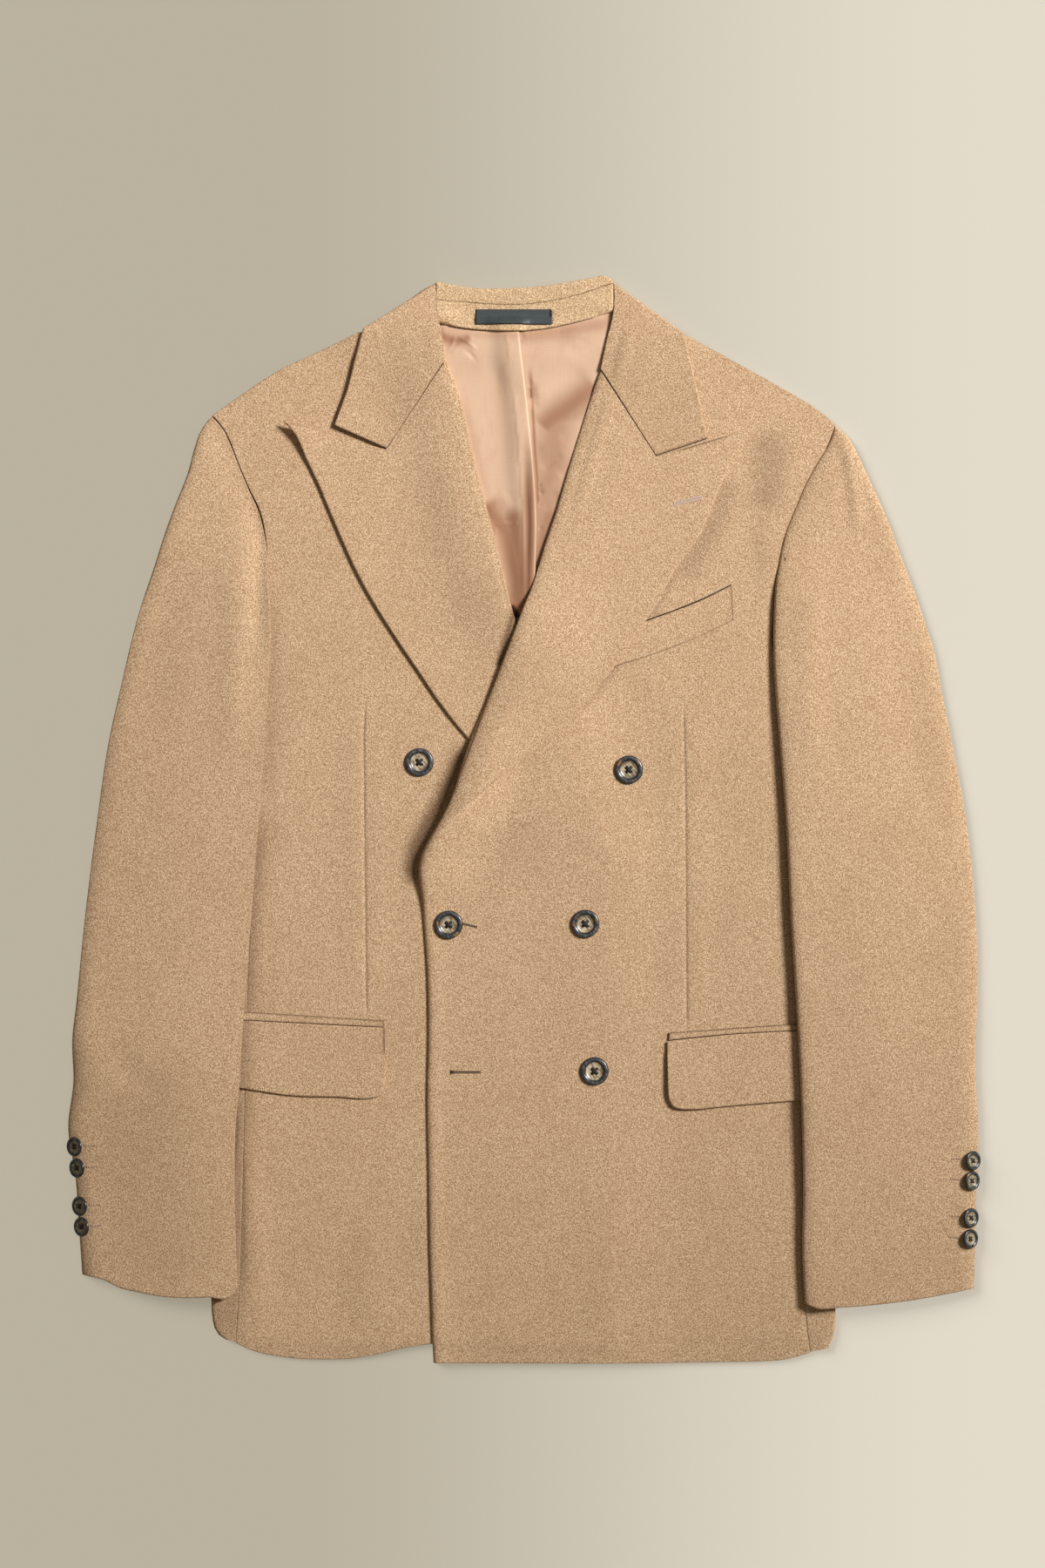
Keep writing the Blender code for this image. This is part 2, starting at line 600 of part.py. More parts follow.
def settle(ground, turns):
    """Let a sheet span the steps under it, as stiff cloth does, never lower than the ground."""
    height = ground.copy()
    for _ in range(turns):
        padded = np.pad(height, 1, mode="edge")
        mean = (padded[:-2, 1:-1] + padded[2:, 1:-1] + padded[1:-1, :-2] + padded[1:-1, 2:]) / 4
        height = np.maximum(ground, mean)
    return height


def drape(pile, name, plan, finish=CAMEL, thickness=CLOTH, clear=CLEAR, turns=6, lift=0.0):
    """Shape a flat panel to the pile that it lies on, before the pile takes it."""
    lower = pile.under(plan)
    lower = np.where(lower > 0.0, lower + clear, 0.0)
    lower = settle(lower, turns) + lift
    return wall(name, plan, lower, lower + thickness, finish)


def bump(distance, reach):
    """Return a soft hill: 1 at no distance, 0 from the reach on."""
    ratio = np.clip(np.abs(distance) / reach, 0.0, 1.0)
    return (1.0 - ratio ** 2) ** 2


def make_collar_fall(pile):
    """The collar leaf folded under behind the neck, flat on the surface."""
    plan = plan_of(COLLAR_FALL, 3)
    lower = np.zeros(plan.shape[:2])
    pile.lay(wall("collar_fall", plan, lower, lower + CLOTH, CAMEL))


def make_back(pile):
    """The two backs, joined at the centre seam, over the folded collar."""
    halves = [("back_right", False), ("back_left", True)]
    pile.lay(*(drape(pile, name, plan_of(BACK, BACK_COLUMNS, mirror), clear=GAP, turns=0)
               for name, mirror in halves))


def make_side(pile, name, table, sign):
    """A side body, folded round the side: its lower half on the surface, the other on top."""
    seam = CLOTH + GAP + CLOTH
    round_top = seam + FOLD_PLAY
    half = round_top / 2
    inner_half = half - CLOTH
    rows_out, rows_in = [], []
    for section in table:
        fold, front_seam = abs(section.first), abs(section.last)
        up, up_seam = section.first_up - LENGTH / 2, section.last_up - LENGTH / 2
        flat = fold - round_top
        outer = [(BACK_SEAM, 0.0, up_seam), (flat, 0.0, up)]
        inner = [(BACK_SEAM, CLOTH, up_seam), (flat, CLOTH, up)]
        for degrees in FOLD_TURNS:
            angle = math.radians(degrees)
            outer.append((fold - half + half * math.cos(angle), half + half * math.sin(angle), up))
            x = fold - half + inner_half * math.cos(angle) - FOLD_INSET
            inner.append((x, half + inner_half * math.sin(angle), up))
        outer += [(flat, round_top, up), (front_seam, seam, up_seam)]
        inner += [(flat, round_top - CLOTH, up), (front_seam, seam - CLOTH, up_seam)]
        rows_out.append([(sign * x, y, z) for x, z, y in outer])
        rows_in.append([(sign * x, y, z) for x, z, y in inner])
    pile.lay(path_wall(name, np.array(rows_out), np.array(rows_in), CAMEL))


def make_collar_band(pile):
    """The roll behind the neck and the stand, with the bare label on it."""
    plan = plan_of(COLLAR_TOP, ROLL_COLUMNS)
    every = np.ones(plan.shape[:2])
    upper, lower = every * (COLLAR_ROLL - ROLL_FALL), every * ROLL_UNDER
    pile.lay(wall("collar_roll", plan, lower, upper, CAMEL))
    plan = plan_of(COLLAR_STAND, 2)
    lower = np.full(plan.shape[:2], COLLAR_ROLL - CLOTH)
    pile.lay(wall("collar_stand", plan, lower, lower + CLOTH, CAMEL))
    plan = plan_of(NECK_LABEL, 1)
    lower = np.full(plan.shape[:2], COLLAR_ROLL + GAP)
    pile.lay(wall("neck_label", plan, lower, lower + LABEL, SLATE))


def make_lining(pile):
    """The satin in the neck opening, with the fold of its centre pleat on top."""
    for name, table in (("lining_left", LINING_OVER), ("lining_right", LINING_UNDER)):
        pile.lay(drape(pile, name, plan_of(table, LINING_COLUMNS), COPPER, SATIN, GAP, turns=2))


def make_front_under(pile):
    """The wearer's right front with its lapel and collar leaf."""
    plan = plan_of(FRONT_UNDER, FRONT_UNDER_COLUMNS, edge=HEM_UNDER)
    pile.lay(drape(pile, "front_right", plan, clear=GAP, turns=3))
    plan = plan_of(LAPEL_UNDER, LAPEL_COLUMNS)
    tip = np.hypot(plan[..., 0] - PEAK_TIP[0], plan[..., 1] + LENGTH / 2 - PEAK_TIP[1])
    lift = PEAK_LIFT * bump(tip, PEAK_LIFT_REACH)
    lapel = drape(pile, "lapel_right", plan, lift=lift)
    leaf = drape(pile, "collar_leaf_right", plan_of(LEAF_UNDER, 4), turns=2)
    pile.lay(lapel, leaf)


def make_front_over(pile):
    """The wearer's left front, over the other, with its welt, lapel and collar leaf."""
    plan = plan_of(FRONT_OVER, FRONT_OVER_COLUMNS, edge=HEM_OVER)
    inward = plan[..., 0] - plan[:, :1, 0]
    up = plan[..., 1] + LENGTH / 2
    lift = FRONT_LIFT * bump(up - FRONT_LIFT_UP, FRONT_LIFT_REACH) * bump(inward, EDGE_RUN)
    pile.lay(drape(pile, "front_left", plan, lift=lift))
    pile.lay(drape(pile, "breast_welt", plan_of(WELT, 3), turns=1))
    lapel = drape(pile, "lapel_left", plan_of(LAPEL_OVER, LAPEL_COLUMNS))
    leaf = drape(pile, "collar_leaf_left", plan_of(LEAF_OVER, 4), turns=2)
    pile.lay(lapel, leaf)


def make_pockets(pile):
    """A jet and a flap at each hip, which run on under the sleeves."""
    tables = [
        ("jet_right", JET_UNDER, 1), ("jet_left", JET_OVER, 1),
        ("flap_right", FLAP_UNDER, 3), ("flap_left", FLAP_OVER, 3),
    ]
    pile.lay(*[drape(pile, name, plan_of(table, cells), turns=1) for name, table, cells in tables])


def make_sleeve(pile, side, table, edge, elbow_first, joined_rows):
    """A two piece sleeve: the under sleeve lies flat, the top sleeve arches over it."""
    if not elbow_first:
        table = [Section(s.last, s.last_up, s.first, s.first_up) for s in table]
    plan = plan_of(table, TOP_COLUMNS, edge=edge)
    ground = pile.under(plan)
    ground = np.where(ground > 0.0, ground + CLEAR, 0.0)
    ground[joined_rows:] = settle(ground[joined_rows:], SLEEVE_TURNS)

    low_plan = plan_of(table[joined_rows + 1:], UNDER_COLUMNS, edge=edge)
    low_plan[-1, :, 1] += CUFF_STEP
    low = pile.under(low_plan)
    low = settle(np.where(low > 0.0, low + CLEAR, 0.0), SLEEVE_TURNS)
    pile.lay(wall(f"undersleeve_{side}", low_plan, low, low + CLOTH, CAMEL))

    over = pile.under(plan)
    top_low = np.where(over > 0.0, over + CLEAR, 0.0)
    top_low[joined_rows:] += (SLEEVE_HOLLOW - CLEAR) * SLEEVE_ARCH
    top_low[:, 0] = ground[:, 0]
    top_low[:joined_rows] = (CLOTH + GAP) * np.interp(TOP_COLUMNS, [0.0, HEAD_RUN], [0.0, 1.0])
    joint = slice(joined_rows, joined_rows + 2)
    top_low[joint, -1] = np.maximum(top_low[joint, -1], ground[joint, -1])
    thick = np.full(top_low.shape, SLEEVE_WALL)
    thick[:, 0] += ELBOW_EXTRA
    thick[:joined_rows, 1:] = CLOTH
    pile.lay(wall(f"topsleeve_{side}", plan, top_low, top_low + thick, CAMEL))


def make_button(name, pile, spot, size, tilt=0.0, toward=0.0):
    """A four hole button with a rolled rim, dished in the middle."""
    radius, thickness = size / 2, size * BUTTON_THICKNESS
    steps = 16 if size > CUFF_BUTTON else 12
    bm = bmesh.new()
    points = [bm.verts.new((r * radius, 0.0, z * thickness)) for r, z in BUTTON_PROFILE]
    edges = [bm.edges.new(pair) for pair in zip(points, points[1:])]
    bmesh.ops.spin(
        bm, geom=points + edges, cent=(0, 0, 0), axis=(0, 0, 1),
        angle=math.tau, steps=steps, use_merge=True,
    )
    bmesh.ops.remove_doubles(bm, verts=bm.verts, dist=0.001)
    bmesh.ops.recalc_face_normals(bm, faces=bm.faces)
    button = add_object(name, bm, HORN)
    drill = drill_for(name, size, thickness)
    cut = button.modifiers.new("thread_holes", "BOOLEAN")
    cut.operation = "DIFFERENCE"
    cut.object = drill
    drill.parent = button
    x, y = spot.across, spot.up - LENGTH / 2
    slope = math.tan(math.radians(tilt)) * toward
    height = pile.seat(x, y, radius, slope) + GAP / math.cos(math.radians(tilt))
    button.location = (x * MM, y * MM, height * MM)
    button.rotation_euler = (0.0, math.radians(tilt) * toward, 0.0)
    return button


def drill_for(name, size, thickness):
    """The cutter of a button's four thread holes."""
    bm = bmesh.new()
    pitch, radius = size * HOLE_PITCH, size * HOLE_RADIUS
    for x in (-pitch, pitch):
        for y in (-pitch, pitch):
            hole = bmesh.ops.create_cone(
                bm, cap_ends=True, segments=HOLE_SIDES, radius1=radius, radius2=radius,
                depth=thickness * 3)
            bmesh.ops.translate(bm, vec=(x, y, 0.0), verts=hole["verts"])
    drill = add_object(f"{name}_drill", bm, HORN)
    drill.hide_render = True
    drill.display_type = "WIRE"
    return drill


def make_buttons(pile):
    """Five front buttons and four at each cuff, on the rounded elbow edge."""
    for number, spot in enumerate(FRONT_BUTTONS, 1):
        make_button(f"front_button_{number}", pile, spot, FRONT_BUTTON)
    for number, spot in enumerate(CUFF_BUTTONS_UNDER, 1):
        make_button(f"cuff_button_right_{number}", pile, spot, CUFF_BUTTON, CUFF_TILT, -1.0)
    for number, spot in enumerate(CUFF_BUTTONS_OVER, 1):
        make_button(f"cuff_button_left_{number}", pile, spot, CUFF_BUTTON, CUFF_TILT, 1.0)


def main():
    """Lay the pieces in the order in which they lie on each other."""
    clear_scene()
    pile = Pile()
    make_collar_fall(pile)
    make_back(pile)
    make_lining(pile)
    make_collar_band(pile)
    make_front_under(pile)
    make_front_over(pile)
    make_side(pile, "side_right", SIDE_UNDER, -1.0)
    make_side(pile, "side_left", SIDE_OVER, 1.0)
    make_pockets(pile)
    make_sleeve(pile, "right", SLEEVE_UNDER, CUFF_UNDER, True, 6)
    make_sleeve(pile, "left", SLEEVE_OVER, CUFF_OVER, False, 8)
    make_buttons(pile)


main()
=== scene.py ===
"""Double breasted blazer in camel flannel, buttoned and laid flat on its back.

Tables are in millimetres. "across" is the distance from the middle line, plus to the wearer's
left, and "up" is the height above the lowest point of the hem. Every panel is a thin shell of
cloth: its rows run from its first edge to its last, and its height comes from the pile of cloth
that it is laid on, with its creases, rolls and seams on top.
"""

from __future__ import annotations

import logging
import math
from dataclasses import dataclass, field
from enum import Enum
from typing import Iterator, NamedTuple, Sequence

import bmesh
import bpy
import numpy as np
from mathutils import Matrix, Vector


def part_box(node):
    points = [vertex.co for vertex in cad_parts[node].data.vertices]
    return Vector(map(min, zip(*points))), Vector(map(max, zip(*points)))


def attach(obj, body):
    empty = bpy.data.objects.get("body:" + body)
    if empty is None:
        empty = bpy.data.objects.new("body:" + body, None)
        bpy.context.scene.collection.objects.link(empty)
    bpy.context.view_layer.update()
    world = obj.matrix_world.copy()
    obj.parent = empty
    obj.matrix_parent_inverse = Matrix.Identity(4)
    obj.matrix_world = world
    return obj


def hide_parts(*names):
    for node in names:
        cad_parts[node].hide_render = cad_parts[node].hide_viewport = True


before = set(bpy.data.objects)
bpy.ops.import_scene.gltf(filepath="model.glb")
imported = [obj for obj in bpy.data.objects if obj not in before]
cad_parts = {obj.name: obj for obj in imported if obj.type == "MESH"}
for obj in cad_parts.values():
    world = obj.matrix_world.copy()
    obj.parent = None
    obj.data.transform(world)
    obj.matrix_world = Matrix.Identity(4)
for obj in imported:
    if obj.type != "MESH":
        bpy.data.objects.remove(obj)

log = logging.getLogger("blazer")

MM = 0.001
BODY = "root"
GARMENT_LENGTH = 779.4
GARMENT_HALF_WIDTH = 326.3
SEAM_GAP = 0.3
CLOTH = 2.0
TINY = 1e-9

Spot = tuple[float, float]
Colour = tuple[float, float, float]
Point = tuple[float, float, float]


class Side(Enum):
    """An edge of a panel."""

    FIRST = "first"
    LAST = "last"
    HEAD = "head"
    FOOT = "foot"


class Hand(Enum):
    """A side of the garment, as the wearer has it."""

    RIGHT = "right"
    LEFT = "left"

    @property
    def sign(self) -> float:
        """1 on the wearer's left and -1 on the right."""
        return 1.0 if self is Hand.LEFT else -1.0


class Corner(Enum):
    """Which edge of a panel turns a corner at a row, and where its place stands in the row."""

    FIRST = 0
    LAST = 2
    NONE = 4


class Slot(Enum):
    """The record's material slots."""

    CAMEL = "camel_flannel"
    COPPER = "copper_satin"
    SLATE = "slate_satin"
    HORN = "dark_horn"


class Row(NamedTuple):
    """A row of a panel: its first edge, its last edge and an optional place between them."""

    first: float
    first_up: float
    last: float
    last_up: float
    via: float | None = None
    via_up: float | None = None
    corner: Corner = Corner.NONE


def table(*rows: tuple[float, ...], first: Sequence[int] = (), last: Sequence[int] = ()) -> tuple[Row, ...]:
    """Return a panel's rows.

    Args:
        rows: The numbers of each row.
        first: The rows at which the first edge turns a corner.
        last: The rows at which the last edge does.

    Returns:
        The rows.
    """
    turned = dict.fromkeys(first, Corner.FIRST) | dict.fromkeys(last, Corner.LAST)
    return tuple(Row(*row)._replace(corner=turned.get(i, Corner.NONE)) for i, row in enumerate(rows))


BACK_UNDER = table(  # wearer's right; first: outer edge, last: centre back seam
    (-117, 738, -0.2, 738), (-142.5, 726, -0.2, 722), (-206, 690.5, -0.2, 690), (-223, 678.5, -0.2, 668),
    (-216.5, 662, -0.2, 650), (-202, 628, -0.2, 620), (-192.5, 592, -0.2, 578), (-188, 530, -0.2, 525),
    (-199, 478, -0.2, 478), (-199, 320, -0.2, 320), (-199, 160, -0.2, 160), (-199, 17, -0.2, 14),
    first=(3, 8))

BACK_OVER = table(  # wearer's left; first: centre back seam, last: outer edge
    (0.2, 735, 117, 735), (0.2, 720, 142, 721), (0.2, 684, 206, 684.5), (0.2, 666, 222, 671),
    (0.2, 648, 216, 652), (0.2, 620, 200.5, 620), (0.2, 578, 189, 585), (0.2, 525, 184, 525),
    (0.2, 474, 196, 474), (0.2, 320, 199, 320), (0.2, 160, 199, 160), (0.2, 14, 199, 17), last=(3, 8))

FRONT_UNDER = table(  # wearer's right; first: shoulder, armhole, side seam; via: dart; last: front edge
    (-118, 738.5, -60, 739, -86, 739), (-142.5, 726.5, -56.5, 722, -92, 723),
    (-174.5, 711.5, -51, 708, -97, 709), (-206, 690.8, -46, 693, -101, 693),
    (-222.6, 679, -42.5, 677, -104, 677), (-214.6, 669.3, -39.5, 665, -106, 665),
    (-203, 641.9, -34, 641, -108, 641), (-195.8, 625.5, -30, 625, -109, 625),
    (-189.2, 612, -26, 612, -110, 612), (-184.4, 590, -20.5, 590, -110.6, 590),
    (-184, 560, -13, 561, -111.4, 560), (-186, 528, -5, 530, -112.2, 528), (-193, 500, 8, 500, -112.8, 500),
    (-200, 478, 17, 478, -113.1, 478), (-194.5, 448, 30, 448, -114.4, 448),
    (-193.6, 414, 43, 414, -114.2, 414), (-193.8, 380, 58, 380, -113.9, 380),
    (-194.3, 353, 68, 353, -113.6, 353), (-195.6, 315, 68, 315, -113.2, 315),
    (-197, 277.5, 68, 277.5, -112.8, 277.5), (-198.4, 235, 68, 235, -112.4, 235),
    (-199.4, 196, 68, 196, -112.2, 196), (-201, 140, 68, 140, -112, 140), (-202.4, 90, 68, 90, -112, 90),
    (-203.8, 51, 68, 48, -112, 49), (-206.2, 14.6, 68, 9, -112, 11), first=(4, 13))

FRONT_OVER = table(  # wearer's left; first: roll and front edge; via: dart; last: shoulder to side seam
    (60.5, 735.5, 118, 735.5, 88, 735.5), (57, 722, 143, 722, 92, 722), (51.5, 704, 182.5, 700, 97, 703),
    (46.5, 688, 207, 685.5, 101, 687), (41, 669.5, 223.2, 672.5, 104, 670),
    (37.5, 659, 217.6, 657.5, 105.5, 658.5), (33.5, 646, 211, 646.8, 107, 646),
    (30, 634, 203.6, 633.8, 108.5, 634), (24, 614, 195.3, 615, 110, 614), (18, 596, 187.8, 596.2, 111, 596),
    (12.5, 577.5, 183.4, 577.5, 112, 577.5), (5.5, 557, 180.2, 557.5, 112.8, 557),
    (-3.1, 537, 179, 537, 113.4, 537), (-13, 510, 178.6, 512, 114, 511), (-19.4, 490, 186, 492, 114.4, 491),
    (-28, 470, 196, 472, 114.8, 471), (-37.5, 448, 194.6, 448, 115.4, 448),
    (-43.5, 430, 194.8, 430, 115.8, 430), (-50, 409, 195.1, 409, 116.2, 409),
    (-57.5, 392.5, 195.4, 392.5, 116.3, 392.5), (-68.1, 374.4, 195.7, 374.4, 116.4, 374.4),
    (-73.1, 363.8, 195.8, 363.8, 116.5, 363.8), (-75, 353, 196, 353, 116.5, 353),
    (-73.1, 336, 196.4, 336, 116.6, 336), (-70.5, 305, 197, 305, 116.8, 305),
    (-68.8, 277.5, 197.4, 277.5, 117, 277.5), (-68.2, 235, 198, 235, 117.2, 235),
    (-69, 190, 199, 190, 117.4, 190), (-68.1, 141, 200, 141, 117.6, 141), (-67.5, 90, 201, 90, 117.8, 90),
    (-66.2, 48, 202, 40, 118, 44), (-64.5, 2, 205.6, 7.5, 118, 2), last=(4, 15))

SIDE_UNDER = table(  # wearer's right; first: folded edge, last: front seam
    (-211, 472, -199.6, 473), (-216, 440, -194.9, 440), (-218.5, 353, -194.6, 353),
    (-220.2, 277.5, -197.3, 277.5), (-221.5, 196, -199.7, 196), (-223, 110, -202, 110),
    (-223.8, 47.5, -204.2, 50), (-222.6, 30, -205.3, 35), (-219, 20.8, -206, 23),
    (-213, 16.9, -206.4, 14.7))

SIDE_OVER = table(  # wearer's left; first: folded edge, last: front seam
    (210, 468, 196.9, 469), (215, 440, 195.2, 440), (217.5, 353, 196.4, 353), (219.5, 277.5, 197.8, 277.5),
    (221, 190, 199.4, 190), (222.6, 110, 201.1, 110), (223.8, 44, 202.3, 40), (223, 22, 204, 22),
    (218.8, 10.6, 205.9, 8.2))

LAPEL_UNDER = table(  # wearer's right; first: outer edge, via: below the notch, last: roll line
    (-171.2, 673.8, -56.4, 716.6, -98.4, 654.4), (-163.1, 664.4, -51.5, 706, -94, 648),
    (-155, 646.2, -46.4, 694, -89, 640), (-147.5, 630.6, -42, 678, -84, 632),
    (-140.5, 614, -37, 654, -78, 620), (-131.9, 593.8, -31, 630, -72, 600),
    (-120.6, 568.8, -23.5, 603, -66, 580), (-108.8, 546.9, -16, 572, -58, 556),
    (-91.9, 520, -8.5, 542, -48, 530), (-75, 495, 0.5, 514, -36, 504), (-58.8, 471.2, 12, 486, -23, 478),
    (-37.5, 445, 25, 456, -6, 450), (-12, 420, 40, 424, 14, 422), (24, 390, 54, 390, 39, 390),
    (54, 366, 63, 366, 58.5, 366))

LAPEL_OVER = table(  # wearer's left; first: outer edge, via: below the notch, last: roll line
    (160.5, 668.8, 55.2, 710.6, 95.2, 649), (155, 657.5, 51.2, 700, 91, 643),
    (149.4, 647.5, 46.6, 686, 86.5, 636), (142, 630, 42, 671, 81, 627), (135, 613.1, 37.5, 657, 76, 616),
    (127, 594, 31.5, 638, 70, 600), (108.1, 566.9, 24, 612, 61, 580), (93.8, 541.2, 16, 588, 51, 557),
    (82.5, 524.4, 8.5, 563, 42, 540), (66.2, 500.6, -1.8, 537, 30, 516), (47.5, 476.9, -11.5, 511, 17, 492),
    (18.1, 446.2, -27.5, 469, -5, 457), (-16.2, 420, -42.6, 428.5, -30, 424.5),
    (-45, 396, -54.5, 397.5, -50, 397), (-62, 380.5, -65, 378, -63.5, 379.2))

LEAF_UNDER = table(  # collar leaf on the wearer's right; first: outer edge, last: neck and gorge
    (-114.4, 741.2, -62, 774.6), (-116.2, 736, -62.5, 764), (-118.6, 727, -61.6, 752),
    (-121.2, 716.9, -59.2, 740), (-126.2, 697.5, -56.2, 718.2), (-129.2, 689, -66.4, 702.8),
    (-131.9, 681.9, -77, 686.8), (-134, 676.2, -87.6, 671), (-135.6, 671.6, -98.4, 655.2), last=(4,))

LEAF_OVER = table(  # collar leaf on the wearer's left; first: outer edge, last: neck and gorge
    (115, 737.4, 64.6, 774.2), (116.8, 730, 65.2, 764), (118.6, 722, 64.2, 751), (120.6, 713.8, 59.6, 732),
    (123.6, 701, 55.4, 712), (125.6, 692, 65.2, 696.8), (127.6, 683, 75, 681.4), (129.4, 674, 85, 665.8),
    (131.8, 662.4, 95.2, 650.1), last=(4,))

COLLAR_FALL = table(  # the part folded under; first: lower edge, last: folded edge
    (-113, 737, -112, 742), (-91.2, 733, -91.2, 755.4), (-63, 729.5, -63, 773.4), (-43, 728, -43, 770.8),
    (-5, 727, -5, 770.2), (27, 728, 27, 772.6), (50, 730, 50, 777.4), (62, 731, 62, 775),
    (79.4, 731.5, 79.4, 763), (95, 732, 95, 752.4), (113, 733, 112.5, 738.8))

COLLAR_TOP = table(  # the roll behind the neck; first: seam to the stand, last: folded edge
    (-62.6, 761.8, -62.2, 775), (-43.1, 760.2, -43.1, 771.2), (-24.4, 758.8, -24.4, 770),
    (-5, 758.3, -5, 770.6), (14.4, 760.2, 14.4, 771.9), (40, 765.8, 40, 776.2), (52, 769.8, 52, 778.4),
    (58.1, 772, 58.1, 779.4), (64.6, 773.6, 64.4, 775.2))

COLLAR_STAND = table(  # the inner band; first: lower edge, last: seam to the roll
    (-61, 744.9, -62.6, 761.5), (-43.1, 741.2, -43.1, 759.8), (-24.4, 739.4, -24.4, 758.4),
    (-3.8, 738.8, -5, 757.9), (14.4, 740.6, 14.4, 759.8), (33.1, 744.4, 40, 765.4), (48, 748.2, 52, 769.4),
    (59, 751.4, 58.1, 771.6), (64.9, 753, 64.6, 773.3))

LINING_UNDER = table(  # wearer's right; first: under the lapel, last: the pleat's fold
    (-58.6, 748.4, -3.4, 743.2, -38, 744.7), (-67, 726, -1.6, 725, -34, 725),
    (-62, 702, 1.4, 700, -30, 701), (-54, 672, 4.4, 672, -25, 672), (-47, 638, 7.5, 638, -20, 638),
    (-39, 604, 9.4, 604, -15, 604), (-30, 573, 8.8, 573, -10, 573), (-18, 535, 8, 535, -5, 535))

LINING_OVER = table(  # wearer's left; first: under the pleat, last: under the lapel
    (-12, 742.6, 67.5, 758.5, 24, 745.6), (-9, 725, 70, 727, 30, 725), (-6, 700, 64, 700, 28, 700),
    (-3, 672, 54, 672, 25, 672), (-0.5, 638, 43, 638, 21, 638), (1.4, 604, 33, 604, 17, 604),
    (1.8, 573, 24, 573, 13, 573), (1, 535, 14, 535, 7, 535))

SLEEVE_UNDER = table(  # wearer's right; first: elbow edge, last: armhole, then the forearm edge
    (-225.6, 676.4, -223, 678.4), (-231.2, 668.1, -215.3, 669.4), (-236.2, 654.4, -209.1, 656.2),
    (-240.6, 638, -203.4, 641.9), (-250, 614, -196.2, 625.5), (-256.6, 596, -189.6, 612),
    (-264, 573, -184.8, 590), (-273, 546, -182.4, 560), (-280.8, 518, -180.4, 526),
    (-288, 487, -181.8, 493), (-296.9, 447, -184.4, 450), (-306.2, 384, -189.4, 386),
    (-314.4, 318, -194.4, 320), (-320.6, 257, -199.2, 256), (-323.4, 232, -201, 230),
    (-322.6, 202, -202.5, 202), (-326.3, 168, -205.6, 168), (-321.4, 136, -206.2, 136),
    (-318.2, 92, -205.6, 94), (-316.2, 63.8, -204, 55.4))

SLEEVE_OVER = table(  # wearer's left; first: elbow edge, last: armhole, then the forearm edge
    (225.4, 670.4, 223.6, 672), (234, 662, 218, 657.5), (240, 651, 211.4, 646.8), (246, 638, 204, 633.8),
    (255, 618.5, 195.7, 615), (263.5, 598.5, 188.2, 596.2), (271, 577.5, 183.8, 577.5),
    (278.8, 557, 180.6, 557.5), (286, 536, 179.3, 537), (293.8, 512, 178.9, 512),
    (300.6, 477.5, 180.6, 477.5), (306.9, 446, 183.2, 446), (318, 384, 188, 384),
    (324.4, 319.4, 191.2, 319.4), (325.4, 262, 194.8, 262), (324, 214, 197.4, 214),
    (326.2, 165, 199.2, 165), (324.6, 120, 200, 121.9), (323.8, 77, 199.6, 77), (323.1, 53.8, 201.4, 43.6))

NECK_LABEL = table(  # first: its plain end, last: its fringed end
    (-33.8, 743.9, 20.3, 743.7), (-34.1, 749.3, 20.5, 749.3), (-33.8, 754.7, 19.7, 754.7))

WELT = table(  # breast pocket; first: lower edge, last: upper edge
    (56, 497, 56, 520), (84, 505.2, 84, 530.2), (107, 513.2, 106, 538), (130, 522.8, 128.5, 547),
    (150.6, 532.6, 149, 557.2))

JET_UNDER = table(  # first: lower edge, last: upper edge
    (-214, 246.6, -214, 252.4), (-199.4, 246, -198.8, 251.9), (-150, 243.5, -150, 248.8),
    (-99.8, 241, -99.8, 245.6))

JET_OVER = table(
    (104, 231.6, 104.4, 236.9), (146.9, 235.9, 146.9, 240), (195, 238.4, 195, 243.1),
    (214, 239.2, 214, 243.8))

FLAP_UNDER = table(  # first: lower edge, last: upper edge
    (-215, 198.4, -215, 246.2), (-200, 196.6, -199.4, 245.6), (-168.1, 192, -168.1, 244),
    (-134, 190.8, -134, 242.2), (-106, 190.6, -106, 240.9), (-102.4, 191.6, -103, 240.8),
    (-100.2, 195.4, -101, 240.7), (-98.8, 212, -99.6, 240.6))

FLAP_OVER = table(
    (103.4, 201, 102.6, 230.2), (104.2, 188.6, 104.4, 231), (106.6, 184.4, 107, 231.4),
    (111, 182.4, 111, 231.8), (118.1, 181.9, 118.1, 232.5), (146.9, 184.2, 146.9, 235.4),
    (195, 188.1, 195, 238), (214, 189.6, 214, 238.8))

# Hems and cuffs, as they dip between the seams
HEM_UNDER = (
    (-206.2, 14.6), (-193.8, 8.8), (-180.6, 5.6), (-161.9, 3.1), (-142.5, 2.5), (-123.1, 3.1),
    (-104.4, 6.2), (-91.2, 9.4), (68, 9))
HEM_OVER = (
    (-64.5, 0.3), (140, 0.6), (171.2, 1.2), (187.5, 2.5), (205.6, 7.5))
CUFF_UNDER = (
    (-316.2, 63.4), (-300, 60), (-288.1, 54.4), (-276.9, 51.9), (-260, 48.8), (-226.2, 48.1),
    (-207.5, 50.6), (-204, 55.4))
CUFF_OVER = (
    (201.4, 43.6), (210, 40), (224.4, 40.6), (272.5, 45), (323.1, 53.8))


def quarter(ratio: np.ndarray | float) -> np.ndarray:
    """Return a quarter circle's rise: 0 at 0 and 1 from 1 on."""
    return np.sqrt(1.0 - (1.0 - np.clip(ratio, 0.0, 1.0)) ** 2)


def rounded(least: float, ratio: np.ndarray | float) -> np.ndarray:
    """Return a quarter circle's rise from a least part at 0 to 1 from 1 on."""
    return least + (1.0 - least) * quarter(ratio)


def ease(ratio: np.ndarray | float) -> np.ndarray:
    """Return a soft step from 0 at 0 to 1 at 1."""
    held = np.clip(ratio, 0.0, 1.0)
    return held * held * (3.0 - 2.0 * held)


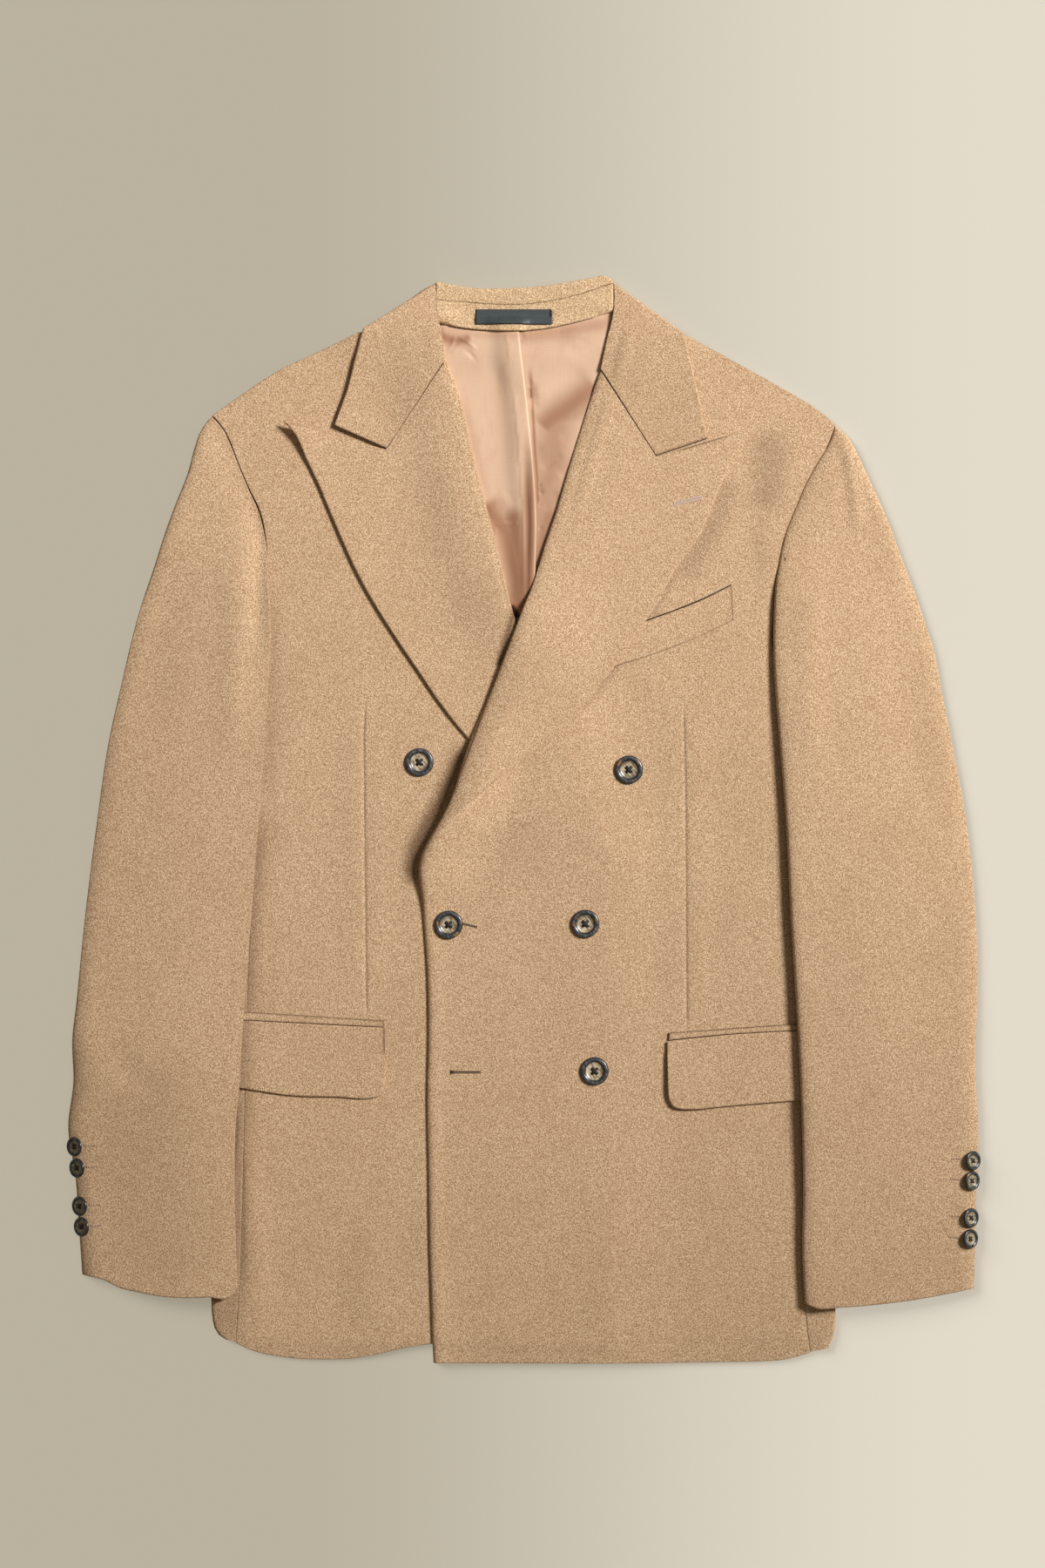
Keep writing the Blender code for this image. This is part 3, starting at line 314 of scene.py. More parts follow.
def hill(ratio: np.ndarray | float) -> np.ndarray:
    """Return a soft hill: 1 at 0, and 0 from 1 on."""
    return (1.0 - np.clip(np.abs(ratio), 0.0, 1.0) ** 2) ** 2


def spline(knots: np.ndarray, values: np.ndarray, breaks: set[int], at: np.ndarray) -> np.ndarray:
    """Read a smooth curve through values, with corners at some knots.

    Args:
        knots: Where each value stands along the curve, rising.
        values: One place for each knot.
        breaks: The knots at which the curve turns a corner.
        at: Where along the curve to read it.

    Returns:
        One place for each entry of at.
    """
    span = np.diff(knots)[:, None]
    slope = np.diff(values, axis=0) / span
    last = len(knots) - 1
    ends = {0, last} | breaks
    leave, reach = np.zeros_like(values), np.zeros_like(values)
    for i in range(1, last):
        if i not in ends:
            shared = (span[i - 1] * slope[i] + span[i] * slope[i - 1]) / (span[i - 1] + span[i])
            leave[i] = reach[i] = shared
    for i in sorted(ends):
        if i < last:
            leave[i] = slope[i] if i + 1 in ends else (3.0 * slope[i] - reach[i + 1]) / 2.0
        if i > 0:
            reach[i] = slope[i - 1] if i - 1 in ends else (3.0 * slope[i - 1] - leave[i - 1]) / 2.0
    cell = np.clip(np.searchsorted(knots, at, side="right") - 1, 0, last - 1)
    t = ((at - knots[cell]) / span[cell, 0])[:, None]
    width = span[cell]
    return (
        (2 * t ** 3 - 3 * t ** 2 + 1) * values[cell]
        + (t ** 3 - 2 * t ** 2 + t) * width * leave[cell]
        + (3 * t ** 2 - 2 * t ** 3) * values[cell + 1]
        + (t ** 3 - t ** 2) * width * reach[cell + 1]
    )


@dataclass(frozen=True)
class Rim:
    """How a panel ends at an edge.

    run is the reach of its rounding and left the part of the thickness at the very edge. bend is
    how far the cloth turns down over bend_run, shade how dark the painted line along the edge is
    over shade_run, a seam line or painted shade, and grow how far the edge is moved out to close the
    seam.
    """

    run: float = 1.2
    left: float = 0.3
    bend: float = 0.0
    bend_run: float = 4.0
    shade: float = 0.0
    shade_run: float = 0.55
    grow: float = 0.0


# Rims with shade paint a dark line along the edge. On seams this is the seam line; on flap edges, rolls,
# laid edges and notches it is painted shade where the edge meets what lies under it.
BLUFF = Rim()
SEAM = Rim(run=0.8, left=0.86, shade=0.34, grow=0.155)
JETTED = Rim(run=0.8, left=0.8, shade=0.82, shade_run=0.8)
MOUTH = Rim(run=0.8, left=0.8, shade=0.42, shade_run=0.8)
TURNED = Rim(bend=2.8, bend_run=5.5)
HIDDEN = Rim(run=0.5)
# painted shade along a flap's edges
FLAP_EDGE = Rim(shade=0.15)
# the roll's shade is painted shade on its edge beside the lining
ROLL = Rim(run=1.3, bend=2.2, bend_run=6.0, shade=0.24, shade_run=1.6)
SOFT_ROLL = Rim(run=6.0, left=0.3, bend=0.8, bend_run=6.0)
GORGE = Rim(run=0.7, left=0.92, shade=0.12, shade_run=0.6)
HEM = Rim(run=0.7, left=0.55)
# painted shade along the laid edge, against its lit rounding
LAID = Rim(run=0.9, left=0.5, shade=0.08, shade_run=0.9)
# painted shadow in the gap at a notch or at a panel's end
NOTCH = Rim(run=0.8, left=0.8, shade=0.85, shade_run=0.9)


def rims_of(first: Rim, last: Rim, head: Rim = HIDDEN, foot: Rim = HIDDEN) -> dict[Side, Rim]:
    """Return the rims of a panel's four edges."""
    return {Side.HEAD: head, Side.FIRST: first, Side.LAST: last, Side.FOOT: foot}


@dataclass(frozen=True)
class Crease:
    """A soft ridge, or a trough where its height is below 0, along a path.

    width is the half width of its section and fade the run over which it dies out at its ends.
    """

    height: float
    width: float
    fade: float
    path: tuple[Spot, ...]

    def relief(self, points: np.ndarray) -> np.ndarray:
        """Return how far the crease lifts each point.

        Args:
            points: Places as across and up, in the last axis.

        Returns:
            One height for each place.
        """
        best = np.full(points.shape[:-1], np.inf)
        along = np.zeros(points.shape[:-1])
        run = 0.0
        for start, end in zip(self.path, self.path[1:]):
            a, b = np.array(start, float), np.array(end, float)
            reach = float(np.linalg.norm(b - a))
            part = np.clip(((points - a) @ (b - a)) / reach ** 2, 0.0, 1.0)
            away = np.linalg.norm(points - (a + part[..., None] * (b - a)), axis=-1)
            closer = away < best
            along = np.where(closer, run + part * reach, along)
            best = np.minimum(best, away)
            run += reach
        fading = ease(along / self.fade) * ease((run - along) / self.fade) if self.fade else 1.0
        return self.height * np.exp(-((best / self.width) ** 2)) * fading


def fold(height: float, width: float, fade: float, *path: Spot) -> Crease:
    """Return a crease along places."""
    return Crease(height, width, fade, path)


def folds(*rows: tuple) -> tuple[Crease, ...]:
    """Return creases from rows of their height, width, fade and places."""
    return tuple(fold(*row) for row in rows)


@dataclass(frozen=True)
class Lift:
    """A place that stands off what lies under it."""

    at: Spot
    height: float
    reach: float

    def relief(self, points: np.ndarray) -> np.ndarray:
        """Return how far each place is lifted."""
        return self.height * hill(np.linalg.norm(points - np.array(self.at, float), axis=-1) / self.reach)


class Pile:
    """The cloth laid so far, as the height of its top over a raster of the surface."""

    CELL = 1.5
    MARGIN = 12

    def __init__(self) -> None:
        """Start with the bare surface."""
        self.low = np.array([-GARMENT_HALF_WIDTH, 0.0]) - self.MARGIN * self.CELL
        reach = np.array([2 * GARMENT_HALF_WIDTH, GARMENT_LENGTH]) + 2 * self.MARGIN * self.CELL
        self.height = np.zeros((reach / self.CELL).astype(int) + 2)

    def cells(self, points: np.ndarray) -> np.ndarray:
        """Return the raster coordinates of places."""
        most = np.array(self.height.shape) - 2.0
        return np.clip((points - self.low) / self.CELL, 0.0, most)

    @staticmethod
    def finer(grid: np.ndarray, steps: int = 3) -> np.ndarray:
        """Fill a grid in between its rows and columns, along straight lines.

        Args:
            grid: The grid, with one or more values at each place.
            steps: How many steps each cell is cut into.

        Returns:
            The finer grid.
        """
        for axis in (0, 1):
            moved = np.moveaxis(grid, axis, 0)
            parts = [moved[:-1] + (moved[1:] - moved[:-1]) * (k / steps) for k in range(steps)]
            filled = np.stack(parts, axis=1).reshape(-1, *moved.shape[1:])
            grid = np.moveaxis(np.concatenate([filled, moved[-1:]]), 0, axis)
        return grid

    def lay(self, points: np.ndarray, top: np.ndarray) -> None:
        """Raise the raster to the top of a piece.

        Args:
            points: A grid of places on the piece.
            top: The height of each.
        """
        places = np.floor(self.cells(self.finer(points))).astype(int)
        heights = self.finer(top[..., None])[..., 0]
        np.maximum.at(self.height, (places[..., 0], places[..., 1]), heights)

    def read(self, field_of: np.ndarray, points: np.ndarray, corner: np.ndarray) -> np.ndarray:
        """Read a window of the raster between its cells.

        Args:
            field_of: The window.
            points: The places to read.
            corner: The window's first cell.

        Returns:
            One height for each place.
        """
        place = np.clip(self.cells(points) - corner - 0.5, 0.0, np.array(field_of.shape) - 1.001)
        cell = np.floor(place).astype(int)
        part = place - cell
        i, j = cell[..., 0], cell[..., 1]
        u, v = part[..., 0], part[..., 1]
        near = field_of[i, j] * (1 - v) + field_of[i, j + 1] * v
        far = field_of[i + 1, j] * (1 - v) + field_of[i + 1, j + 1] * v
        return near * (1 - u) + far * u

    @staticmethod
    def spread(heights: np.ndarray) -> np.ndarray:
        """Return the mean of each cell and its neighbours."""
        padded = np.pad(heights, 1, mode="edge")
        mean = padded[:-2] + padded[1:-1] * 2.0 + padded[2:]
        return (mean[:, :-2] + mean[:, 1:-1] * 2.0 + mean[:, 2:]) / 16.0

    @staticmethod
    def widest(heights: np.ndarray) -> np.ndarray:
        """Return the highest of each cell and its neighbours."""
        padded = np.pad(heights, 1, mode="edge")
        tall = np.maximum(np.maximum(padded[:-2], padded[1:-1]), padded[2:])
        return np.maximum(np.maximum(tall[:, :-2], tall[:, 1:-1]), tall[:, 2:])

    def rest(self, points: np.ndarray, clear: float, stiff: int) -> np.ndarray:
        """Let a sheet of cloth settle on the pile.

        Args:
            points: A grid of places on the sheet.
            clear: The gap that it keeps to what it lies on.
            stiff: How many cells it takes to bend over a step.

        Returns:
            The height of the sheet's underside at each place.
        """
        cells = self.cells(points).reshape(-1, 2)
        first = np.maximum(np.floor(cells.min(0)).astype(int) - self.MARGIN, 0)
        last = np.ceil(cells.max(0)).astype(int) + self.MARGIN
        ground = self.widest(self.height[first[0]:last[0], first[1]:last[1]])
        held = np.where(ground > 0.0, ground + clear, 0.0)
        wide = held
        for _ in range(stiff):
            wide = self.widest(wide)
        level = wide
        for _ in range(2 * stiff * stiff):
            level = self.spread(level)
        return self.read(np.maximum(level, held), points, first)

    def height_at(self, points: np.ndarray) -> np.ndarray:
        """Return the height of the pile at places."""
        return self.read(self.height, points, np.zeros(2))

    def top(self, across: float, up: float, radius: float, slope: float = 0.0) -> float:
        """Rest a disc on the pile.

        Args:
            across: The place of its middle.
            up: The same, upwards.
            radius: Its radius.
            slope: How much it falls along across.

        Returns:
            The height of its middle.
        """
        reach = np.arange(-radius, radius + 0.1, self.CELL / 2)
        x, y = np.meshgrid(reach, reach, indexing="ij")
        inside = np.hypot(x, y) <= radius
        places = np.stack([x[inside] + across, y[inside] + up], axis=-1)
        heights = self.read(self.height, places, np.zeros(2))
        return float((heights + slope * x[inside]).max())


@dataclass
class Plan:
    """A panel's places, seen from above, and how far each is from the panel's edges."""

    points: np.ndarray
    reach: dict[Side, np.ndarray] = field(default_factory=dict)

    def __post_init__(self) -> None:
        """Measure the distances along the rows and columns."""
        steps = np.linalg.norm(np.diff(self.points, axis=1), axis=-1)
        start = np.concatenate([np.zeros((len(steps), 1)), np.cumsum(steps, axis=1)], axis=1)
        self.reach[Side.FIRST] = start * self.lean(0, 1)
        self.reach[Side.LAST] = (start[:, -1:] - start) * self.lean(-1, -2)
        rises = np.linalg.norm(np.diff(self.points, axis=0), axis=-1)
        drop = np.concatenate([np.zeros((1, rises.shape[1])), np.cumsum(rises, axis=0)])
        self.reach[Side.HEAD] = drop
        self.reach[Side.FOOT] = drop[-1:] - drop

    def lean(self, edge: int, inner: int) -> np.ndarray:
        """Compare the direction of an edge with the rows'.

        Args:
            edge: The column at the edge.
            inner: The column beside it.

        Returns:
            For each row, the sine of the angle between the two.
        """
        along = np.gradient(self.points[:, edge], axis=0)
        into = self.points[:, inner] - self.points[:, edge]
        cross = np.abs(along[:, 0] * into[:, 1] - along[:, 1] * into[:, 0])
        size = np.linalg.norm(along, axis=1) * np.linalg.norm(into, axis=1)
        return (cross / np.maximum(size, TINY))[:, None]

    @property
    def area(self) -> float:
        """The flat area, in square metres."""
        a, b = self.points[:-1, :-1], self.points[1:, :-1]
        c, d = self.points[1:, 1:], self.points[:-1, 1:]
        p, q = c - a, d - b
        return float(np.abs(p[..., 0] * q[..., 1] - p[..., 1] * q[..., 0]).sum() / 2) * MM * MM

    @property
    def size(self) -> tuple[float, float]:
        """The flat width and length, in metres."""
        low, high = self.points.reshape(-1, 2).min(0), self.points.reshape(-1, 2).max(0)
        return float(high[0] - low[0]) * MM, float(high[1] - low[1]) * MM


def add_object(name: str, data: bpy.types.ID) -> bpy.types.Object:
    """Put data in the scene as an object."""
    made = bpy.data.objects.new(name, data)
    bpy.context.scene.collection.objects.link(made)
    return made


def add_mesh(name: str, bm: bmesh.types.BMesh) -> bpy.types.Object:
    """Put a mesh in the scene, and free its source."""
    mesh = bpy.data.meshes.new(name)
    bm.to_mesh(mesh)
    bm.free()
    return add_object(name, mesh)


def place_object(name: str, bm: bmesh.types.BMesh, replaces: Sequence[str] = ()) -> bpy.types.Object:
    """Turn a mesh in millimetres on the garment into a piece that rides on the body.

    Args:
        name: The piece's name.
        bm: Its mesh, as across, up and height in millimetres. It is freed.
        replaces: The nodes that it stands for.

    Returns:
        The piece.
    """
    for vertex in bm.verts:
        x, y, z = vertex.co
        vertex.co = (x * MM, (y - GARMENT_LENGTH / 2) * MM, z * MM)
    bmesh.ops.recalc_face_normals(bm, faces=bm.faces)
    piece = add_mesh(name, bm)
    piece.data.shade_smooth()
    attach(piece, BODY)
    if replaces:
        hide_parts(*replaces)
    return piece


def shell(name: str, node: str, outer: np.ndarray, inner: np.ndarray, shade: np.ndarray) -> bpy.types.Object:
    """Close the wall of cloth between two grids of places.

    Args:
        name: The piece's name.
        node: The node that it stands for.
        outer: One face, as a grid of across, up and height.
        inner: The other face.
        shade: How much painted shade each place has, seam lines included.

    Returns:
        The piece.
    """
    rows, columns = outer.shape[:2]
    bm = bmesh.new()
    bmesh.ops.create_grid(bm, x_segments=columns - 1, y_segments=rows - 1, size=1.0)
    mark = bm.verts.layers.int.new("place")
    # the seam layer holds the painted shade: seam lines, and shade painted at edges, in gaps and along shade
    # paths
    tone = bm.verts.layers.float.new("seam")
    for number, (vertex, value) in enumerate(zip(bm.verts, shade.reshape(-1))):
        vertex[mark] = number
        vertex[tone] = value
    count = rows * columns
    bmesh.ops.extrude_face_region(bm, geom=list(bm.faces))
    bm.verts.ensure_lookup_table()
    lower, upper = inner.reshape(-1, 3), outer.reshape(-1, 3)
    for number, vertex in enumerate(bm.verts):
        vertex.co = (lower if number < count else upper)[vertex[mark]]
    bm.verts.layers.int.remove(mark)
    return place_object(name, bm, [node])


class Value:
    """A number in a material's nodes, with arithmetic."""

    def __init__(self, loom: Loom, output: bpy.types.NodeSocket) -> None:
        """Hold the socket and the material that it belongs to."""
        self.loom = loom
        self.output = output

    def _math(self, operation: str, a: Value | float, b: Value | float) -> Value:
        """Add a Math node."""
        return self.loom.node("ShaderNodeMath", {0: a, 1: b}, operation=operation)

    def __add__(self, other: Value | float) -> Value:
        """Add."""
        return self._math("ADD", self, other)

    def __sub__(self, other: Value | float) -> Value:
        """Subtract."""
        return self._math("SUBTRACT", self, other)

    def __rsub__(self, other: Value | float) -> Value:
        """Subtract from a number."""
        return self._math("SUBTRACT", other, self)

    def __mul__(self, other: Value | float) -> Value:
        """Multiply."""
        return self._math("MULTIPLY", self, other)

    def step(self, low: float, high: float) -> Value:
        """Return a soft step from 0 at low to 1 at high."""
        return self.loom.node(
            "ShaderNodeMapRange", {"Value": self, "From Min": low, "From Max": high},
            interpolation_type="SMOOTHSTEP",
        )


class Loom:
    """Builds the nodes of one material."""

    TIP = (0.62, 0.47, 0.0)

    def __init__(self, name: str) -> None:
        """Start a material with its shader."""
        self.material = bpy.data.materials.new(name)
        self.material.use_nodes = True
        self.tree = self.material.node_tree
        self.shader = self.tree.nodes["Principled BSDF"]

    def node(self, kind: str, inputs: dict, output: str | int = 0, **settings: object) -> Value:
        """Add a node.

        Args:
            kind: Its type.
            inputs: A value or a link for some of its sockets.
            output: The output to return.
            settings: Its own settings, which are set first.

        Returns:
            The chosen output.
        """
        made = self.tree.nodes.new(kind)
        for name, value in settings.items():
            setattr(made, name, value)
        for key, value in inputs.items():
            self.feed(made.inputs[key], value)
        return Value(self, made.outputs[output])

    def feed(self, socket: bpy.types.NodeSocket, value: object) -> None:
        """Set or link one input. A plain colour is opaque."""
        if isinstance(value, Value):
            self.tree.links.new(value.output, socket)
        else:
            socket.default_value = (*value, 1.0) if socket.type == "RGBA" else value

    def surface(self, inputs: dict[str, object]) -> None:
        """Set or link inputs of the shader."""
        for name, value in inputs.items():
            self.feed(self.shader.inputs[name], value)

    def place(self, scale: Sequence[float], turn: float = 0.0) -> Value:
        """Return the piece's own coordinates, turned and scaled."""
        own = self.node("ShaderNodeTexCoord", {}, "Object")
        turned = self.node("ShaderNodeMapping", {"Vector": own, "Rotation": (0.0, 0.0, turn)})
        return self.node("ShaderNodeMapping", {"Vector": turned, "Scale": tuple(scale)})

    def noise(
        self, scale: Sequence[float], turn: float = 0.0, detail: float = 2.0, rough: float = 0.5
    ) -> Value:
        """Return noise with one feature for each unit of the scaled coordinates.

        Args:
            scale: Features for each metre.
            turn: The turn of the pattern about the upright.
            detail: How many finer layers it has.
            rough: How strong the finer layers are.

        Returns:
            The noise, about 0.5 on average.
        """
        tipped = self.node("ShaderNodeMapping", {"Vector": self.place(scale, turn), "Rotation": self.TIP})
        return self.node(
            "ShaderNodeTexNoise", {"Vector": tipped, "Scale": 1.0, "Detail": detail, "Roughness": rough})

    def seam(self) -> Value:
        """Return how much painted shade each place has: seam lines, and shade painted at edges, in gaps and
        along shade paths.
        """
        return self.node("ShaderNodeAttribute", {}, "Fac", attribute_name="seam")

    def mix(self, factor: Value | float, a: Value | Colour, b: Value | Colour) -> Value:
        """Mix two colours."""
        return self.node("ShaderNodeMix", {0: factor, 6: a, 7: b}, 2, data_type="RGBA")

    def bump(self, height: Value, strength: float, distance: float) -> None:
        """Feed a height to the shader's normal."""
        self.surface({"Normal": self.node(
            "ShaderNodeBump", {"Height": height, "Strength": strength, "Distance": distance})})


@dataclass(frozen=True)
class Finish:
    """A finish that pieces are dressed in."""

    slot: Slot

    def loom(self) -> Loom:
        """Return the nodes of the finish."""
        raise NotImplementedError

    @property
    def name(self) -> str:
        """The material's name."""
        return f"{self.slot.value}_finish"

    def dress(self, piece: bpy.types.Object) -> None:
        """Give the piece this finish."""
        piece.data.materials.append(bpy.data.materials.get(self.name) or self.loom().material)


@dataclass(frozen=True)
class Flannel(Finish):
    """Milled woollen twill with a short nap and mixed fibres, light and dark.

    grain is the turn of its warp from the upright, in degrees.
    """

    slot: Slot = Slot.CAMEL
    grain: float = 0.0
    twill: float = 58.0
    tone: str = "body"
    deep: Colour = (0.345, 0.205, 0.106)
    middle: Colour = (0.556, 0.374, 0.219)
    light: Colour = (0.83, 0.63, 0.42)
    # the colour of seam lines and of the shade painted into the cloth
    seam: Colour = (0.10, 0.05, 0.022)

    @property
    def name(self) -> str:
        """The material's name, one for each direction of the grain."""
        return f"{self.slot.value}_{self.tone}_{round(self.grain) % 360:03d}"

    def loom(self) -> Loom:
        """Return the nodes: fibre flecks over a fine twill, soft clouds, and seam lines and painted shade
        from the seam layer.
        """
        loom = Loom(self.name)
        grain = math.radians(self.grain)
        fleck = loom.noise((1350.0, 1250.0, 500.0), grain + 0.3, 1.0, 0.6)
        streaks = loom.noise((800.0, 1600.0, 500.0), math.radians(self.twill) + grain, 1.0)
        yarn = loom.noise((1500.0, 800.0, 500.0), grain, 1.0)
        cloud = loom.noise((24.0, 18.0, 8.0), 0.0, 3.0)
        patch = loom.noise((150.0, 110.0, 40.0), 0.5, 2.0, 0.6)
        blend = fleck * 0.5 + streaks * 0.28 + yarn * 0.22
        colour = loom.mix(1.0 - blend.step(0.38, 0.52), self.middle, self.deep)
        colour = loom.mix(blend.step(0.48, 0.63), colour, self.light)
        colour = loom.mix(cloud.step(0.38, 0.68) * 0.10 + patch.step(0.4, 0.65) * 0.035, colour, self.deep)
        # the seam layer darkens the cloth toward the seam colour: seam lines and painted shade
        loom.surface({
            "Base Color": loom.mix(loom.seam(), colour, self.seam), "Roughness": 0.95,
            "Specular IOR Level": 0.15, "Sheen Weight": 0.12, "Sheen Roughness": 0.5,
            "Sheen Tint": (1.0, 0.86, 0.68)})
        loom.bump(blend + cloud * 0.25, 0.6, 0.0006)
        return loom


@dataclass(frozen=True)
class Satin(Finish):
    """Lining satin: fine warp lines, a soft shine, and shade painted into its colour."""

    slot: Slot = Slot.COPPER
    base: Colour = (0.725, 0.508, 0.352)
    worn: Colour = (0.50, 0.30, 0.18)
    # the colour painted as shade in the satin's valleys and under the lapels' shadows
    painted_shade: Colour = (0.27, 0.095, 0.036)
    # near black painted for the deepest shade, in the gap below the lapels
    dark: Colour = (0.02, 0.010, 0.006)

    def loom(self) -> Loom:
        """Return the nodes of the satin."""
        loom = Loom(self.name)
        thread = loom.noise((2200.0, 60.0, 90.0)) * 0.6 + loom.noise((110.0, 1800.0, 90.0)) * 0.4
        cloud = loom.noise((60.0, 34.0, 20.0), 0.0, 4.0, 0.6)
        seam = loom.seam()
        colour = loom.mix(thread.step(0.3, 0.7) * 0.22, self.base, self.worn)
        colour = loom.mix(cloud.step(0.48, 0.75) * 0.30, colour, self.worn)
        # the seam layer paints the shade: toward the shade colour, and near black where it is deepest
        colour = loom.mix(seam.step(0.75, 1.0), loom.mix(seam, colour, self.painted_shade), self.dark)
        loom.surface({
            "Base Color": colour, "Roughness": thread * 0.14 + 0.42, "Specular IOR Level": 0.4,
            "Specular Tint": (1.0, 0.87, 0.76), "Sheen Weight": 0.1})
        loom.bump(thread + cloud * 0.6, 0.3, 0.00012)
        return loom


@dataclass(frozen=True)
class LabelSatin(Finish):
    """Woven label ground."""

    slot: Slot = Slot.SLATE
    base: Colour = (0.024, 0.033, 0.037)
    lit: Colour = (0.062, 0.078, 0.082)

    def loom(self) -> Loom:
        """Return the nodes of the label."""
        loom = Loom(self.name)
        weave = loom.node(
            "ShaderNodeTexWave", {"Vector": loom.place((1.0, 1.0, 0.0)), "Scale": 420.0, "Distortion": 1.0},
            "Fac", bands_direction="Y")
        thread = weave * 0.4 + loom.noise((2600.0, 500.0, 200.0)) * 0.6
        colour = loom.mix(loom.seam(), loom.mix(thread, self.base, self.lit), self.base)
        loom.surface({"Base Color": colour, "Roughness": thread * 0.25 + 0.4})
        loom.bump(thread, 0.5, 0.00012)
        return loom


@dataclass(frozen=True)
class Horn(Finish):
    """Dark horn: slate at the rim, cream and amber clouds in the dish."""

    slot: Slot = Slot.HORN
    part: str = "front"
    outline: Colour = (0.010, 0.010, 0.011)
    rim: Colour = (0.044, 0.050, 0.057)
    # lighter horn streaks on the rim, made light enough to stand in part for glints: partly painted
    # highlight
    streaks_and_glints: Colour = (0.125, 0.135, 0.145)
    amber: Colour = (0.34, 0.18, 0.065)
    smoke: Colour = (0.15, 0.115, 0.075)
    cream: Colour = (0.60, 0.50, 0.34)

    @property
    def name(self) -> str:
        """The material's name, one for the front buttons and one for the cuffs'."""
        return f"{self.slot.value}_{self.part}"

    def loom(self) -> Loom:
        """Return the nodes: rings on the button's own disc, clouded and streaked by noise, with the groove
        painted dark as shade.
        """
        loom = Loom(self.name)
        disc = loom.node("ShaderNodeUVMap", {}, uv_map="disc")
        centred = loom.node("ShaderNodeVectorMath", {0: disc, 1: (0.5, 0.5, 0.0)}, operation="SUBTRACT")
        radius = loom.node("ShaderNodeVectorMath", {0: centred}, "Value", operation="LENGTH") * 2.0
        cloud = loom.noise((150.0, 110.0, 90.0), 0.6, 3.0, 0.6)
        veins = loom.noise((230.0, 760.0, 190.0), 0.9, 2.0, 0.6)
        edge = radius + cloud * 0.24 - 0.12
        dish = loom.mix(veins.step(0.46, 0.58) * 0.85, self.cream, self.smoke)
        dish = loom.mix(radius.step(0.30, 0.62) * cloud.step(0.40, 0.62), dish, self.smoke)
        rim = loom.mix(veins.step(0.45, 0.66), self.rim, self.streaks_and_glints)
        rim = loom.mix(cloud.step(0.53, 0.66) * veins.step(0.38, 0.60), rim, self.amber)
        # the groove ring is painted dark, as shade in the recess
        groove_shade = radius.step(0.60, 0.67) * (1.0 - radius.step(0.70, 0.78))
        colour = loom.mix(groove_shade * 0.8, loom.mix(edge.step(0.56, 0.68), dish, rim), self.outline)
        loom.surface({
            "Base Color": loom.mix(radius.step(0.90, 0.98), colour, self.outline),
            "Roughness": veins * 0.25 + 0.18, "Coat Weight": 0.3, "Coat Roughness": 0.14})
        loom.bump(veins, 0.1, 0.0001)
        return loom


@dataclass(frozen=True)
class Thread(Finish):
    """Sewing thread."""

    slot: Slot = Slot.CAMEL
    tone: str = "silk"
    colour: Colour = (0.34, 0.26, 0.20)

    @property
    def name(self) -> str:
        """The material's name, one for each colour."""
        return f"thread_{self.tone}"

    def loom(self) -> Loom:
        """Return the nodes of the thread."""
        loom = Loom(self.name)
        twist = loom.noise((2200.0, 2200.0, 2200.0), 0.4)
        darker = tuple(0.7 * part for part in self.colour)
        loom.surface({"Base Color": loom.mix(twist, self.colour, darker), "Roughness": 0.65})
        loom.bump(twist, 0.4, 0.0001)
        return loom


BODY_CLOTH = Flannel()


